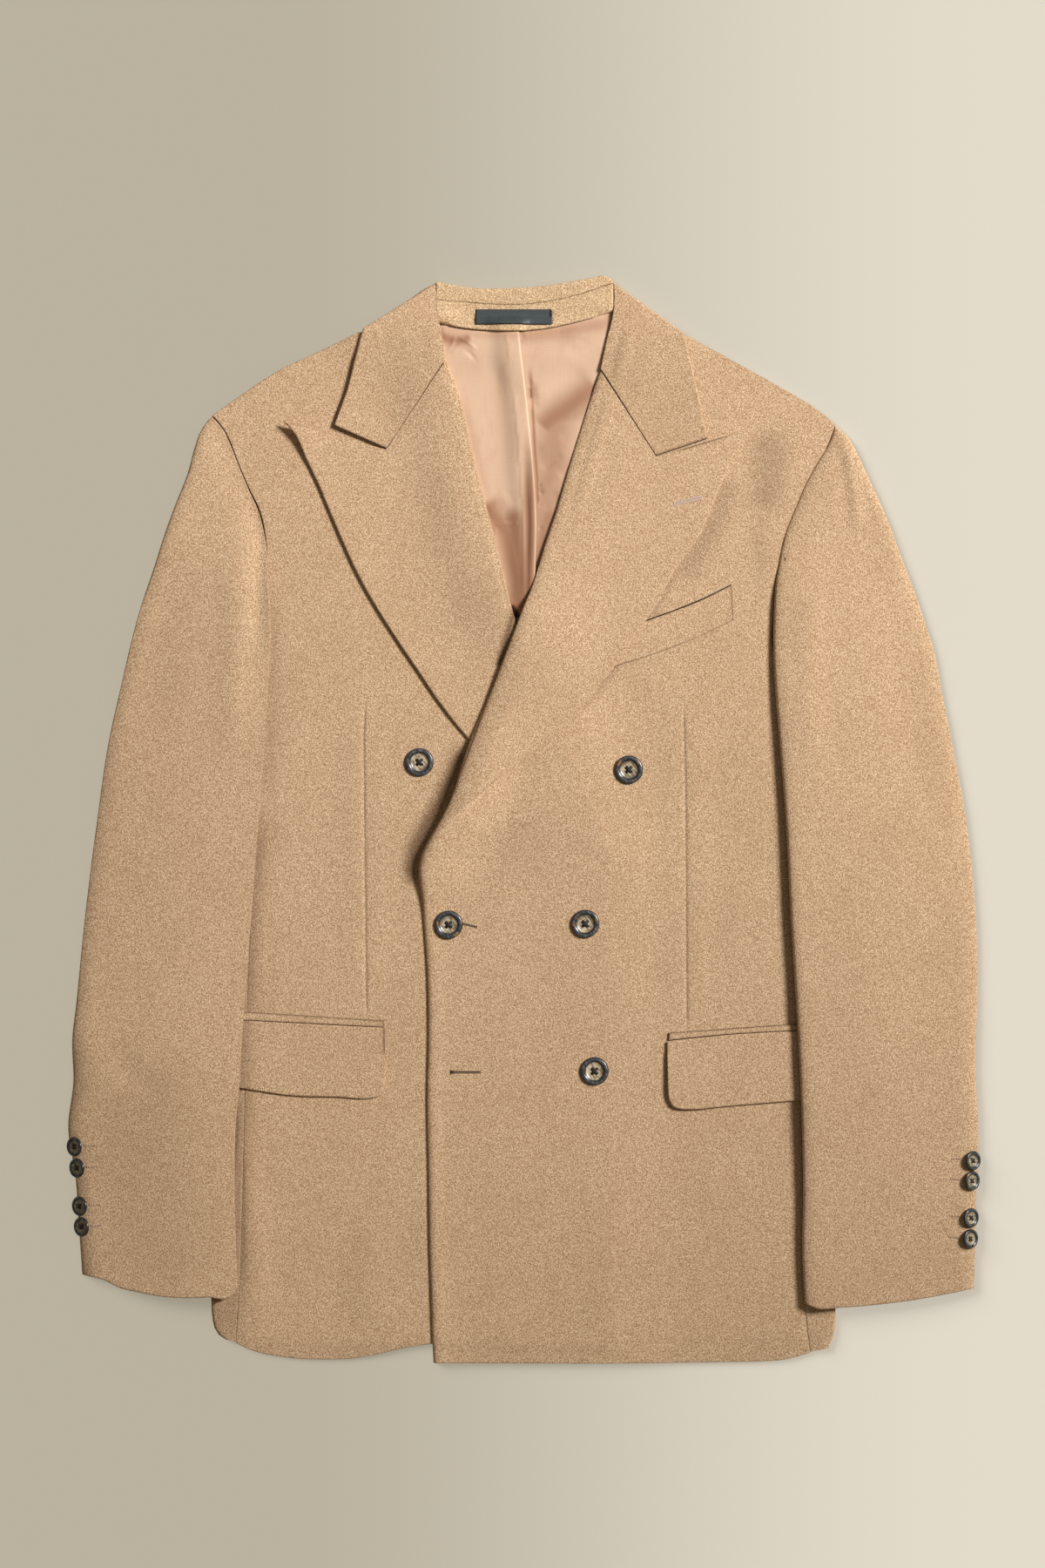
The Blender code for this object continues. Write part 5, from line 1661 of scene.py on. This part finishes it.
@dataclass
class OverFront:
    """The wearer's left front, with its breast pocket, lapel and collar leaf.

    tucked is how far its edge stays inside the lapel's roll beside the lining, above tucked_up.
    """

    tucked: float = 12.0
    tucked_up: float = 495.0
    tucked_run: float = 55.0
    mouth_high: float = 0.95
    mouth_low: float = -1.5
    mouth_rise: float = 0.12
    neck_edge: Crease = fold(
        -1.3, 26, 14, (68, 786), (65.5, 762), (61.5, 741), (55.4, 712), (46.6, 686), (37.5, 657),
        (24, 612), (8.5, 563), (-1, 538))

    def build(self, pile: Pile) -> None:
        """Lay the front, then what is sewn to it."""
        dart = fold(-0.55, 0.9, 14, (114.8, 474), (116.2, 409), (117.2, 236))
        creases = folds(
            (-0.7, 12, 40, (178, 690), (174, 655), (170, 620)),
            (-1.2, 8, 60, (186, 520), (186, 380), (190, 250)),
            (0.5, 9, 40, (124, 470), (125, 360), (126, 250)),
            (0.4, 8, 40, (107, 470), (108, 360), (108, 250)),
            (0.8, 20, 60, (60, 150), (56, 70), (50, 0)),
            (-0.8, 16, 50, (150, 130), (152, 60), (156, 0)),
            (-0.7, 16, 60, (-40, 250), (-44, 140), (-40, 30)),
        )
        # Shade painted on the over front: contact shade beside the lapel's edge and above the welt, a soft
        # shaded hollow at the shoulder, and soft folds.
        painted_shades = folds(
            (0.3, 1.9, 60, (150.6, 648), (136.4, 613), (128.4, 593), (110, 566), (95.4, 540.5), (68, 500),
             (49.4, 476), (20, 445)),
            (0.26, 8, 14, (150, 640), (136, 600), (112, 558)),
            (0.28, 5, 8, (100, 541), (86, 520), (73, 502)),
            (0.3, 13, 16, (166, 672), (177, 654), (175, 632), (172, 604)),
            (0.12, 6, 30, (174, 640), (170, 600), (168, 540)),
        )
        rows = [
            row._replace(first=row.first + self.tucked * float(
                ease((row.first_up - self.tucked_up) / self.tucked_run)))
            for row in FRONT_OVER
        ]
        lay_out(pile, RolledFront(
            "front_left", rows, rims_of(TURNED, SEAM, foot=HEM), foot=HEM_OVER, line=dart, creases=creases,
            stiff=11, painted_shades=painted_shades, rests_on=("back_left", "front_right")))
        self.pocket(pile)
        # The lapel's shade path paints the dark line at its notch, beside the leaf's end.
        lapel = Panel(
            "lapel_left", LAPEL_OVER, rims_of(LAID, SOFT_ROLL, GORGE), Flannel(grain=24.0), cell=2.6,
            painted_shades=folds((0.85, 0.9, 14, (104, 651.7), (131, 659.8), (152, 666.2))), merge=220.0, stiff=10,
            rests_on=("front_left",), creases=(self.neck_edge,))
        # The leaf's shade path paints it a little darker where its slope faces the light.
        leaf = Panel(
            "collar_leaf_left", LEAF_OVER, rims_of(LAID, SEAM, BLUFF, NOTCH), Flannel(grain=-20.0), cell=2.4,
            painted_shades=folds((0.1, 60, 0, (64, 770), (105, 680))), clear=0.5, stiff=8,
            creases=(self.neck_edge,), rests_on=("front_left",))
        lay_out(pile, lapel, leaf)

    def pocket(self, pile: Pile) -> None:
        """Make the breast pocket's welt, and a dark strip behind it, painted as the shadow in its mouth."""
        bm = bmesh.new()
        bmesh.ops.create_grid(bm, x_segments=len(WELT) - 1, y_segments=1, size=0.5)
        for vertex in bm.verts:
            row = WELT[round((vertex.co.x + 0.5) * (len(WELT) - 1))]
            across, up = row.last, row.last_up + (self.mouth_high if vertex.co.y > 0.0 else self.mouth_low)
            vertex.co = (across, up, pile.top(across, up, 1.0) + self.mouth_rise)
        bmesh.ops.solidify(bm, geom=bm.faces, thickness=-0.1)
        # a near black strip stands for the shade in the pocket's mouth
        Thread(tone="mouth", colour=(0.05, 0.024, 0.009)).dress(place_object("welt_mouth_shadow", bm))
        lay_out(pile, Panel(
            "breast_welt", WELT, rims_of(SEAM, BLUFF, foot=NOTCH), Flannel(grain=16.0), cell=2.2,
            thickness=1.0, clear=0.15, stiff=1, rests_on=("front_left",)))


class HipPockets:
    """A jet and a flap at each hip."""

    def build(self, pile: Pile) -> None:
        """Lay both jets and flaps on the fronts."""
        jet_rims = rims_of(MOUTH, JETTED, JETTED, JETTED)
        flap_rims = rims_of(FLAP_EDGE, HIDDEN, FLAP_EDGE, NOTCH)
        panels = [
            Panel(f"jet_{hand.value}", rows, jet_rims, cell=1.6, thickness=1.4, stiff=1,
                  bands=(0.0, 0.25, 0.6, 1.1), rests_on=(f"front_{hand.value}",))
            for hand, rows in zip(Hand, (JET_UNDER, JET_OVER))
        ]
        # Shade painted on the flap on the wearer's right: contact shade beside the sleeve, and a dark line
        # at its end.
        painted_shades = folds((0.4, 8, 0, (-200, 270), (-203, 170)), (0.9, 1, 3, (-99.6, 243), (-99, 221)))
        lift = Lift((103, 196), 1.3, 40.0)
        panels += [
            Panel(f"flap_{hand.value}", rows, flap_rims, cell=2.2, stiff=1, painted_shades=painted_shades, lifts=lifts,
                  rests_on=(f"front_{hand.value}",))
            for hand, rows, painted_shades, lifts in (
                (Hand.RIGHT, FLAP_UNDER, painted_shades, ()), (Hand.LEFT, FLAP_OVER, (), (lift,)))
        ]
        lay_out(pile, *panels)


@dataclass
class Sleeves:
    """The two sleeves, each an under half and an arched top half.

    inset is how far the under half's elbow edge lies inside the top half's, and inner the same for
    its forearm edge, which on the wearer's right comes out by shown near shown_up. The under half
    starts under_low below the place where the top half leaves the armhole seam.
    """

    inset: float = 4.2
    under_low: float = 20.0
    inner_right: float = 2.6
    inner_left: float = 3.0
    shown: float = 5.8
    shown_up: float = 160.0
    shown_run: float = 52.0
    grain: float = 5.0
    cuff_gap: float = 1.2
    # painted contact shade on the under half's edge, where it shows beside the top half
    contact_shade: Rim = Rim(shade=0.66, shade_run=9.0)
    elbow: Rim = Rim(run=1.1, left=0.5)
    cuff: Rim = Rim(run=0.8, left=0.5, bend=1.0, bend_run=2.0)
    # its shade paints a dark line at the top half's forearm edge, as contact shade
    edge_right: Rim = Rim(run=1.5, left=0.4, shade=0.34, shade_run=1.6)
    edge_left: Rim = Rim(run=1.5, left=0.4, bend=2.6, bend_run=8.0)
    # shade painted on the lower part of the sleeve on the wearer's right, where the light falls off
    painted_shades_right: tuple[Crease, ...] = folds(
        (0.14, 16, 40, (-318, 250), (-318, 150), (-314, 30)),
        (0.15, 40, 60, (-270, 240), (-268, 140), (-264, 20)))

    def build(self, pile: Pile) -> None:
        """Lay both sleeves beside and over the fronts."""
        self.sleeve(pile, Hand.RIGHT, SLEEVE_UNDER, CUFF_UNDER, 610.0, folds(
            (-1.4, 6, 40, (-200, 640), (-188, 590), (-190, 500)),
            (1.4, 12, 60, (-208, 610), (-205, 520), (-208, 420)),
            (-0.9, 16, 60, (-246, 600), (-262, 520), (-270, 430)),
            (-0.8, 10, 24, (-300, 240), (-280, 205), (-250, 196)),
        ))
        self.sleeve(pile, Hand.LEFT, SLEEVE_OVER, CUFF_OVER, 600.0, folds(
            (-0.3, 4.5, 22, (224, 664), (231, 630), (233, 590)),
            (0.8, 4.6, 22, (229, 668), (236, 630), (240, 590)),
            (1.2, 12, 60, (206, 590), (203, 500), (206, 400)),
            (-0.8, 16, 60, (262, 560), (276, 470), (284, 380)),
        ))

    def sleeve(
        self, pile: Pile, hand: Hand, rows: Sequence[Row], cuff: Sequence[Spot], joined: float,
        creases: Sequence[Crease],
    ) -> None:
        """Make one sleeve.

        Args:
            pile: What it lies on.
            hand: The wearer's side.
            rows: The rows of its top half.
            cuff: The curve of its cuff.
            joined: The height at which it leaves the armhole seam.
            creases: The top half's creases.
        """
        side, sign = hand.value, hand.sign
        cloth = Flannel(grain=sign * self.grain)
        inner = [
            row._replace(first=row.first - sign * self.inset, last=row.last + sign * self.inner(hand, row))
            for row in rows if row.last_up < joined - self.under_low
        ]
        lay_out(pile, Panel(
            f"undersleeve_{side}", inner, rims_of(BLUFF, self.contact_shade, foot=BLUFF), cloth, cell=4.0,
            clear=0.5, foot=[(across, up + self.cuff_gap) for across, up in cuff],
            rests_on=(f"front_{side}", f"side_{side}")))
        edge, painted_shades = (self.edge_right, self.painted_shades_right) if hand is Hand.RIGHT else (self.edge_left, ())
        lay_out(pile, TopSleeve(
            f"topsleeve_{side}", rows, rims_of(self.elbow, edge, foot=self.cuff), cloth, foot=cuff,
            creases=creases, joined_up=joined, painted_shades=painted_shades,
            rests_on=(f"undersleeve_{side}", f"front_{side}")))

    def inner(self, hand: Hand, row: Row) -> float:
        """Return how far the under half's forearm edge lies inside the top half's.

        Args:
            hand: The wearer's side.
            row: The row of the top half.

        Returns:
            The distance, below 0 where the under half comes out.
        """
        if hand is Hand.LEFT:
            return self.inner_left
        shown = self.shown * float(hill((row.last_up - self.shown_up) / self.shown_run))
        return self.inner_right - shown


def strand(bm: bmesh.types.BMesh, points: Sequence[Sequence[float]], radius: float, sides: int = 5) -> None:
    """Draw a thread along points into a mesh.

    Args:
        bm: The mesh.
        points: Its route.
        radius: Its radius.
        sides: How many sides it has.
    """
    route = [Vector(point) for point in points]
    for number, point in enumerate(route):
        ahead, behind = route[min(number + 1, len(route) - 1)], route[max(number - 1, 0)]
        seat = Matrix.Translation(point) @ (ahead - behind).to_track_quat("Z", "Y").to_matrix().to_4x4()
        if number == 0:
            ring = bmesh.ops.create_circle(bm, cap_ends=True, segments=sides, radius=radius)["verts"]
            face, move = ring[0].link_faces[0], seat
        else:
            grown = bmesh.ops.extrude_face_region(bm, geom=[face])["geom"]
            if number > 1:
                bmesh.ops.delete(bm, geom=[face], context="FACES_ONLY")
            ring = [part for part in grown if isinstance(part, bmesh.types.BMVert)]
            face = next(part for part in grown if isinstance(part, bmesh.types.BMFace))
            move = seat @ last_seat.inverted()
        bmesh.ops.transform(bm, matrix=move, verts=ring)
        last_seat = seat


def node_place(node: str) -> Spot:
    """Return the middle of a node, as across and up."""
    low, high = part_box(node)
    middle = (low + high) / (2 * MM)
    return middle.x, middle.y + GARMENT_LENGTH / 2


def cuff_row() -> Iterator[tuple[str, float]]:
    """Yield the end of each cuff button's name, and the sign of its side."""
    for hand in Hand:
        for number in range(1, 5):
            yield f"{hand.value}_{number}", hand.sign


@dataclass
class Button:
    """A four hole horn button with a rolled rim, sewn on with crossed thread.

    Its thickness, its holes' pitch and radius, and its thread are parts of its size, and the thread's
    reach a part of the pitch. Its profile is in parts of its radius and thickness.
    """

    THICK = 0.165
    SEAT = 0.47
    PITCH = 0.088
    HOLE = 0.042
    STRAND = 0.027
    STRAND_GAP = 0.028
    STRAND_REACH = 1.7

    node: str
    size: float
    horn: Horn
    tilt: float = 0.0
    sunk: float = 0.9
    steps: int = 48
    profile: tuple[tuple[float, float], ...] = (
        (0.0, 0.50), (0.40, 0.50), (0.50, 0.53), (0.58, 0.62), (0.64, 0.76), (0.70, 0.90),
        (0.77, 0.98), (0.84, 1.0), (0.91, 0.96), (0.965, 0.84), (0.995, 0.66), (1.0, 0.52),
        (0.985, 0.38), (0.93, 0.22), (0.82, 0.08), (0.6, 0.0), (0.0, 0.0),
    )

    def build(self, pile: Pile) -> None:
        """Make the button where its node is, resting on the cloth."""
        across, up = node_place(self.node)
        radius = self.size * self.SEAT * math.cos(self.tilt)
        height = pile.top(across, up, radius, math.tan(self.tilt)) - self.sunk
        seat = Matrix.Translation((across, up, height)) @ Matrix.Rotation(self.tilt, 4, "Y")
        self.horn.dress(self.disc(seat))
        Thread(tone="black", colour=(0.018, 0.015, 0.014)).dress(self.thread(seat))
        log.info("%s: button and thread", self.node)

    def disc(self, seat: Matrix) -> bpy.types.Object:
        """Turn the button's profile and drill its holes."""
        radius, thick = self.size / 2, self.size * self.THICK
        bm = bmesh.new()
        points = [bm.verts.new((r * radius, 0.0, z * thick)) for r, z in self.profile]
        edges = [bm.edges.new(pair) for pair in zip(points, points[1:])]
        bmesh.ops.spin(
            bm, geom=points + edges, cent=(0, 0, 0), axis=(0, 0, 1), angle=math.tau, steps=self.steps,
            use_merge=True)
        bmesh.ops.remove_doubles(bm, verts=bm.verts, dist=0.001)
        bmesh.ops.recalc_face_normals(bm, faces=bm.faces)
        bm = self.drilled(bm, thick)
        disc = bm.loops.layers.uv.new("disc")
        for face in bm.faces:
            for loop in face.loops:
                loop[disc].uv = (loop.vert.co.x / self.size + 0.5, loop.vert.co.y / self.size + 0.5)
        bmesh.ops.transform(bm, matrix=seat, verts=bm.verts)
        piece = place_object(f"horn_{self.node}", bm, [self.node])
        piece.data.set_sharp_from_angle(angle=math.radians(40.0))
        return piece

    def drilled(self, bm: bmesh.types.BMesh, thick: float) -> bmesh.types.BMesh:
        """Cut the four thread holes.

        Args:
            bm: The whole button, which is freed.
            thick: Its thickness.

        Returns:
            The drilled button.
        """
        pitch, radius = self.size * self.PITCH, self.size * self.HOLE
        drill = bmesh.new()
        for x in (-pitch, pitch):
            for y in (-pitch, pitch):
                hole = bmesh.ops.create_cone(
                    drill, cap_ends=True, segments=12, radius1=radius, radius2=radius, depth=thick * 3)
                bmesh.ops.translate(drill, vec=(x, y, 0.0), verts=hole["verts"])
        whole, pins = add_mesh("whole", bm), add_mesh("drill", drill)
        cut = whole.modifiers.new("holes", "BOOLEAN")
        cut.object = pins
        shown = whole.evaluated_get(bpy.context.evaluated_depsgraph_get())
        done = bmesh.new()
        done.from_mesh(shown.to_mesh())
        for used in (whole, pins):
            bpy.data.objects.remove(used)
        return done

    def thread(self, seat: Matrix) -> bpy.types.Object:
        """Cross the thread over the dish, through the holes."""
        reach, thick = self.size * self.PITCH * self.STRAND_REACH, self.size * self.THICK
        bm = bmesh.new()
        for turn, rise in ((math.radians(45.0), 0.62), (math.radians(135.0), 0.68)):
            along = Vector((math.cos(turn), math.sin(turn), 0.0))
            beside = Vector((-along.y, along.x, 0.0)) * self.size
            for gap in (-self.STRAND_GAP, 0.0, self.STRAND_GAP):
                strand(bm, [
                    along * reach * part + beside * gap * spread + Vector((0.0, 0.0, thick * up))
                    for part, spread, up in (
                        (-1.0, 1.0, 0.2), (-0.85, 1.0, rise - 0.05), (0.0, 0.7, rise),
                        (0.85, 1.0, rise - 0.05), (1.0, 1.0, 0.2))
                ], self.size * self.STRAND)
        bmesh.ops.transform(bm, matrix=seat, verts=bm.verts)
        return place_object(f"thread_{self.node}", bm)


@dataclass
class Buttons:
    """The five front buttons and the four at each cuff."""

    front_size: float = 20.3
    cuff_size: float = 14.0
    cuff_tilt: float = math.radians(35.0)
    cuff_sunk: float = 1.25

    def build(self, pile: Pile) -> None:
        """Sew every button on."""
        # the cuff horn's lighter rim streaks stand in part for glints: partly painted highlight
        dark = Horn(
            part="cuff", rim=(0.026, 0.032, 0.031), streaks_and_glints=(0.090, 0.103, 0.100), amber=(0.20, 0.12, 0.055),
            smoke=(0.095, 0.076, 0.050), cream=(0.44, 0.37, 0.24))
        for number in range(1, 6):
            Button(f"front_button_{number}", self.front_size, Horn()).build(pile)
        for name, sign in cuff_row():
            tilt = sign * self.cuff_tilt
            Button(f"cuff_button_{name}", self.cuff_size, dark, tilt, self.cuff_sunk).build(pile)


@dataclass
class Buttonhole:
    """A worked buttonhole: stitches round a slit, and a bar at its ends."""

    name: str
    start: Spot
    end: Spot
    thread: Thread
    half_width: float = 1.2
    pitch: float = 0.55
    open: float = 0.35
    eye: float = 0.0
    slit: Thread | None = None
    bars: bool = False
    eye_run: float = 4.0
    press: float = 0.8
    slit_over: float = 0.15
    bar_out: float = 0.4
    thread_part: float = 0.4
    unevenness: float = 0.12
    arch: tuple[Spot, ...] = ((0.0, -0.05), (0.25, 0.14), (0.75, 0.14), (1.0, -0.1))

    def build(self, pile: Pile) -> None:
        """Stitch the buttonhole on the cloth."""
        start, end = np.array(self.start), np.array(self.end)
        length = float(np.linalg.norm(end - start))
        along = (end - start) / length
        beside = np.array([-along[1], along[0]])
        bm = bmesh.new()
        count = max(6, round(length / self.pitch))
        for number in range(count + 1):
            part = number / count
            eye = self.widened(part, length)
            middle = start + along * part * length
            for side in (-1.0, 1.0):
                wave = self.unevenness * math.sin(number * 2.3 + side)
                ends = (self.open + eye, self.half_width + eye + wave)
                self.stitch(bm, pile, *(middle + beside * side * reach for reach in ends))
        if self.bars:
            for middle in (start - along * self.bar_out, end + along * self.bar_out):
                self.stitch(bm, pile, middle - beside * self.half_width, middle + beside * self.half_width)
        self.thread.dress(place_object(self.name, bm))
        if self.slit:
            self.open_slit(pile, start, end, beside)
        log.info("%s: %d stitches", self.name, 2 * count + 2)

    def widened(self, part: float, length: float) -> float:
        """Return how far the hole is widened for its eye, at a part of its length."""
        return self.eye * float(hill((1.0 - part) * length / self.eye_run))

    def stitch(self, bm: bmesh.types.BMesh, pile: Pile, inner: np.ndarray, outer: np.ndarray) -> None:
        """Lay one stitch over the cloth.

        Args:
            bm: The mesh to draw it in.
            pile: The cloth under it.
            inner: Its end at the slit.
            outer: Its other end.
        """
        points = []
        for part, rise in self.arch:
            foot = inner + (outer - inner) * part
            points.append((*foot, pile.top(*foot, self.press) + rise))
        strand(bm, points, self.pitch * self.thread_part)

    def open_slit(self, pile: Pile, start: np.ndarray, end: np.ndarray, beside: np.ndarray) -> None:
        """Lay a dark strip between the stitches, painted as the shade in the slit.

        Args:
            pile: The cloth under it.
            start: One end.
            end: The other end.
            beside: The direction across the slit.
        """
        bm = bmesh.new()
        bmesh.ops.create_grid(bm, x_segments=10, y_segments=1, size=0.5)
        for vertex in bm.verts:
            part, side = vertex.co.x + 0.5, math.copysign(1.0, vertex.co.y)
            eye = self.widened(part, float(np.linalg.norm(end - start)))
            foot = start + (end - start) * part + beside * side * (self.open + eye + self.slit_over)
            vertex.co = (*foot, pile.top(*foot, self.press) + 0.05)
        bmesh.ops.solidify(bm, geom=bm.faces, thickness=-0.1)
        self.slit.dress(place_object(f"{self.name}_slit", bm))


@dataclass
class Buttonholes:
    """Every worked hole: the lapel's, two of the front's and one beside each cuff button."""

    silk: Thread = Thread(tone="rose", colour=(0.80, 0.64, 0.54))
    dark: Thread = Thread(tone="umber", colour=(0.30, 0.20, 0.13))
    cuff: Thread = Thread(tone="fawn", colour=(0.66, 0.47, 0.31))
    shade: Thread = Thread(tone="shade", colour=(0.035, 0.022, 0.016))
    start_gap: float = 7.0
    reach: float = 7.5
    rise: float = 1.0
    slope: float = 0.6

    def build(self, pile: Pile) -> None:
        """Stitch them all."""
        for hole in (
            Buttonhole("lapel_hole", (108.4, 615.6), (127.6, 620), self.silk, half_width=1.5, pitch=0.6,
                       open=0.1, bars=True),
            Buttonhole("front_hole_upper", (-45.5, 315.6), (-33, 312.6), self.dark, half_width=0.8,
                       pitch=0.5, open=0.16, slit=self.shade),
            Buttonhole("front_hole_lower", (-30.6, 208.8), (-52.4, 208.8), self.dark, half_width=0.95,
                       pitch=0.5, open=0.12, eye=0.75, slit=self.shade),
        ):
            hole.build(pile)
        for name, sign in cuff_row():
            across, up = node_place(f"cuff_button_{name}")
            near, up = across - sign * self.start_gap, up + self.rise
            far = (near - sign * self.reach, up + self.slope)
            Buttonhole(f"cuff_hole_{name}", (near, up), far, self.cuff, half_width=0.5, pitch=0.9,
                       open=0.15).build(pile)


class LampKind(Enum):
    """What a light is."""

    SPOT = "SPOT"
    SUN = "SUN"


class Reach(Enum):
    """What a light reaches."""

    FLOOR = "INCLUDE"
    GARMENT = "EXCLUDE"


@dataclass(frozen=True)
class Lamp:
    """A light that reaches only the floor, or all but the floor.

    size is its radius, or a sun's angle, and power its watts, or a sun's strength. aim is the place
    on the floor that it points at, and cone the angle of a spot's cone, which fades to its edge.
    """

    name: str
    kind: LampKind
    reaches: Reach
    place: Point
    size: float
    power: float
    colour: Colour = (1.0, 1.0, 1.0)
    aim: Spot = (0.0, 0.0)
    cone: float = math.pi

    def hang(self, floor: bpy.types.Object) -> None:
        """Hang the light and choose what it reaches.

        Args:
            floor: The floor.
        """
        data = bpy.data.lights.new(self.name, self.kind.value)
        if self.kind is LampKind.SUN:
            data.angle = self.size
        else:
            data.shadow_soft_size, data.spot_size, data.spot_blend = self.size, self.cone, 1.0
        data.energy = self.power
        data.color = self.colour
        lamp = add_object(self.name, data)
        lamp.location = self.place
        way = Vector((*self.aim, 0.0)) - lamp.location
        lamp.rotation_euler = way.to_track_quat("-Z", "Y").to_euler()
        reached = bpy.data.collections.new(f"{self.name}_reach")
        reached.objects.link(floor)
        reached.collection_objects[0].light_linking.link_state = self.reaches.value
        lamp.light_linking.receiver_collection = reached


@dataclass
class Studio:
    """The pale floor, the lights and the camera.

    fade is where across the floor its paler part starts and where it is full. The darker left is painted
    shade where the light falls off.
    """

    lens: float = 80.0
    height: float = 2.5
    aim: Spot = (-0.0006, 0.0253)
    floor_half: float = 6.0
    # the floor's colour on the left, painted darker as the light's falloff
    floor_painted_shade: Colour = (0.480, 0.446, 0.356)
    floor_pale: Colour = (0.752, 0.711, 0.612)
    fade: Spot = (-0.19, 0.343)
    sky: Colour = (1.0, 0.85, 0.68)
    sky_power: float = 0.16
    lamps: tuple[Lamp, ...] = (
        Lamp("key", LampKind.SPOT, Reach.GARMENT, (2.98, 1.63, 2.85), size=0.66, power=1262.0,
             colour=(1.0, 0.970, 0.960), aim=(-0.65, 0.74), cone=1.024),
        Lamp("wash", LampKind.SUN, Reach.FLOOR, (-1.5, 1.05, 1.0), size=math.radians(32.0), power=1.69),
        Lamp("overhead", LampKind.SUN, Reach.FLOOR, (0.0, 0.0, 3.0), size=math.radians(20.0), power=1.91))

    def build(self) -> None:
        """Set the studio up."""
        floor = self.floor()
        for lamp in self.lamps:
            lamp.hang(floor)
        world = bpy.data.worlds.new("studio")
        world.use_nodes = True
        sky = world.node_tree.nodes["Background"].inputs
        sky["Color"].default_value = (*self.sky, 1.0)
        sky["Strength"].default_value = self.sky_power
        bpy.context.scene.world = world
        bpy.context.scene.view_settings.view_transform = "Standard"
        self.camera()

    def camera(self) -> None:
        """Hang the camera over the garment, looking straight down."""
        data = bpy.data.cameras.new("camera")
        data.lens = self.lens
        camera = add_object("camera", data)
        camera.location = (*self.aim, self.height)
        bpy.context.scene.camera = camera

    def floor(self) -> bpy.types.Object:
        """Make the plain floor, painted darker to the left as shade where the light falls off."""
        bm = bmesh.new()
        bmesh.ops.create_grid(bm, x_segments=4, y_segments=4, size=self.floor_half)
        floor = add_mesh("floor", bm)
        loom = Loom("paper")
        own = loom.node("ShaderNodeTexCoord", {}, "Object")
        fade = loom.node("ShaderNodeSeparateXYZ", {"Vector": own}, "X").step(*self.fade)
        loom.surface({
            "Base Color": loom.mix(fade, self.floor_painted_shade, self.floor_pale), "Roughness": 1.0,
            "Specular IOR Level": 0.0})
        floor.data.materials.append(loom.material)
        return floor


def main() -> None:
    """Lay the garment out piece by piece, in the order in which the pieces lie on each other."""
    logging.basicConfig(level=logging.INFO, format="%(name)s: %(message)s")
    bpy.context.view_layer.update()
    Studio().build()
    pile = Pile()
    for part in (
        Backs(), Lining(), UnderFront(), OverFront(), CollarBand(), Sides(), HipPockets(), Sleeves(),
        Buttons(), Buttonholes(),
    ):
        part.build(pile)


if __name__ == "__main__":
    main()
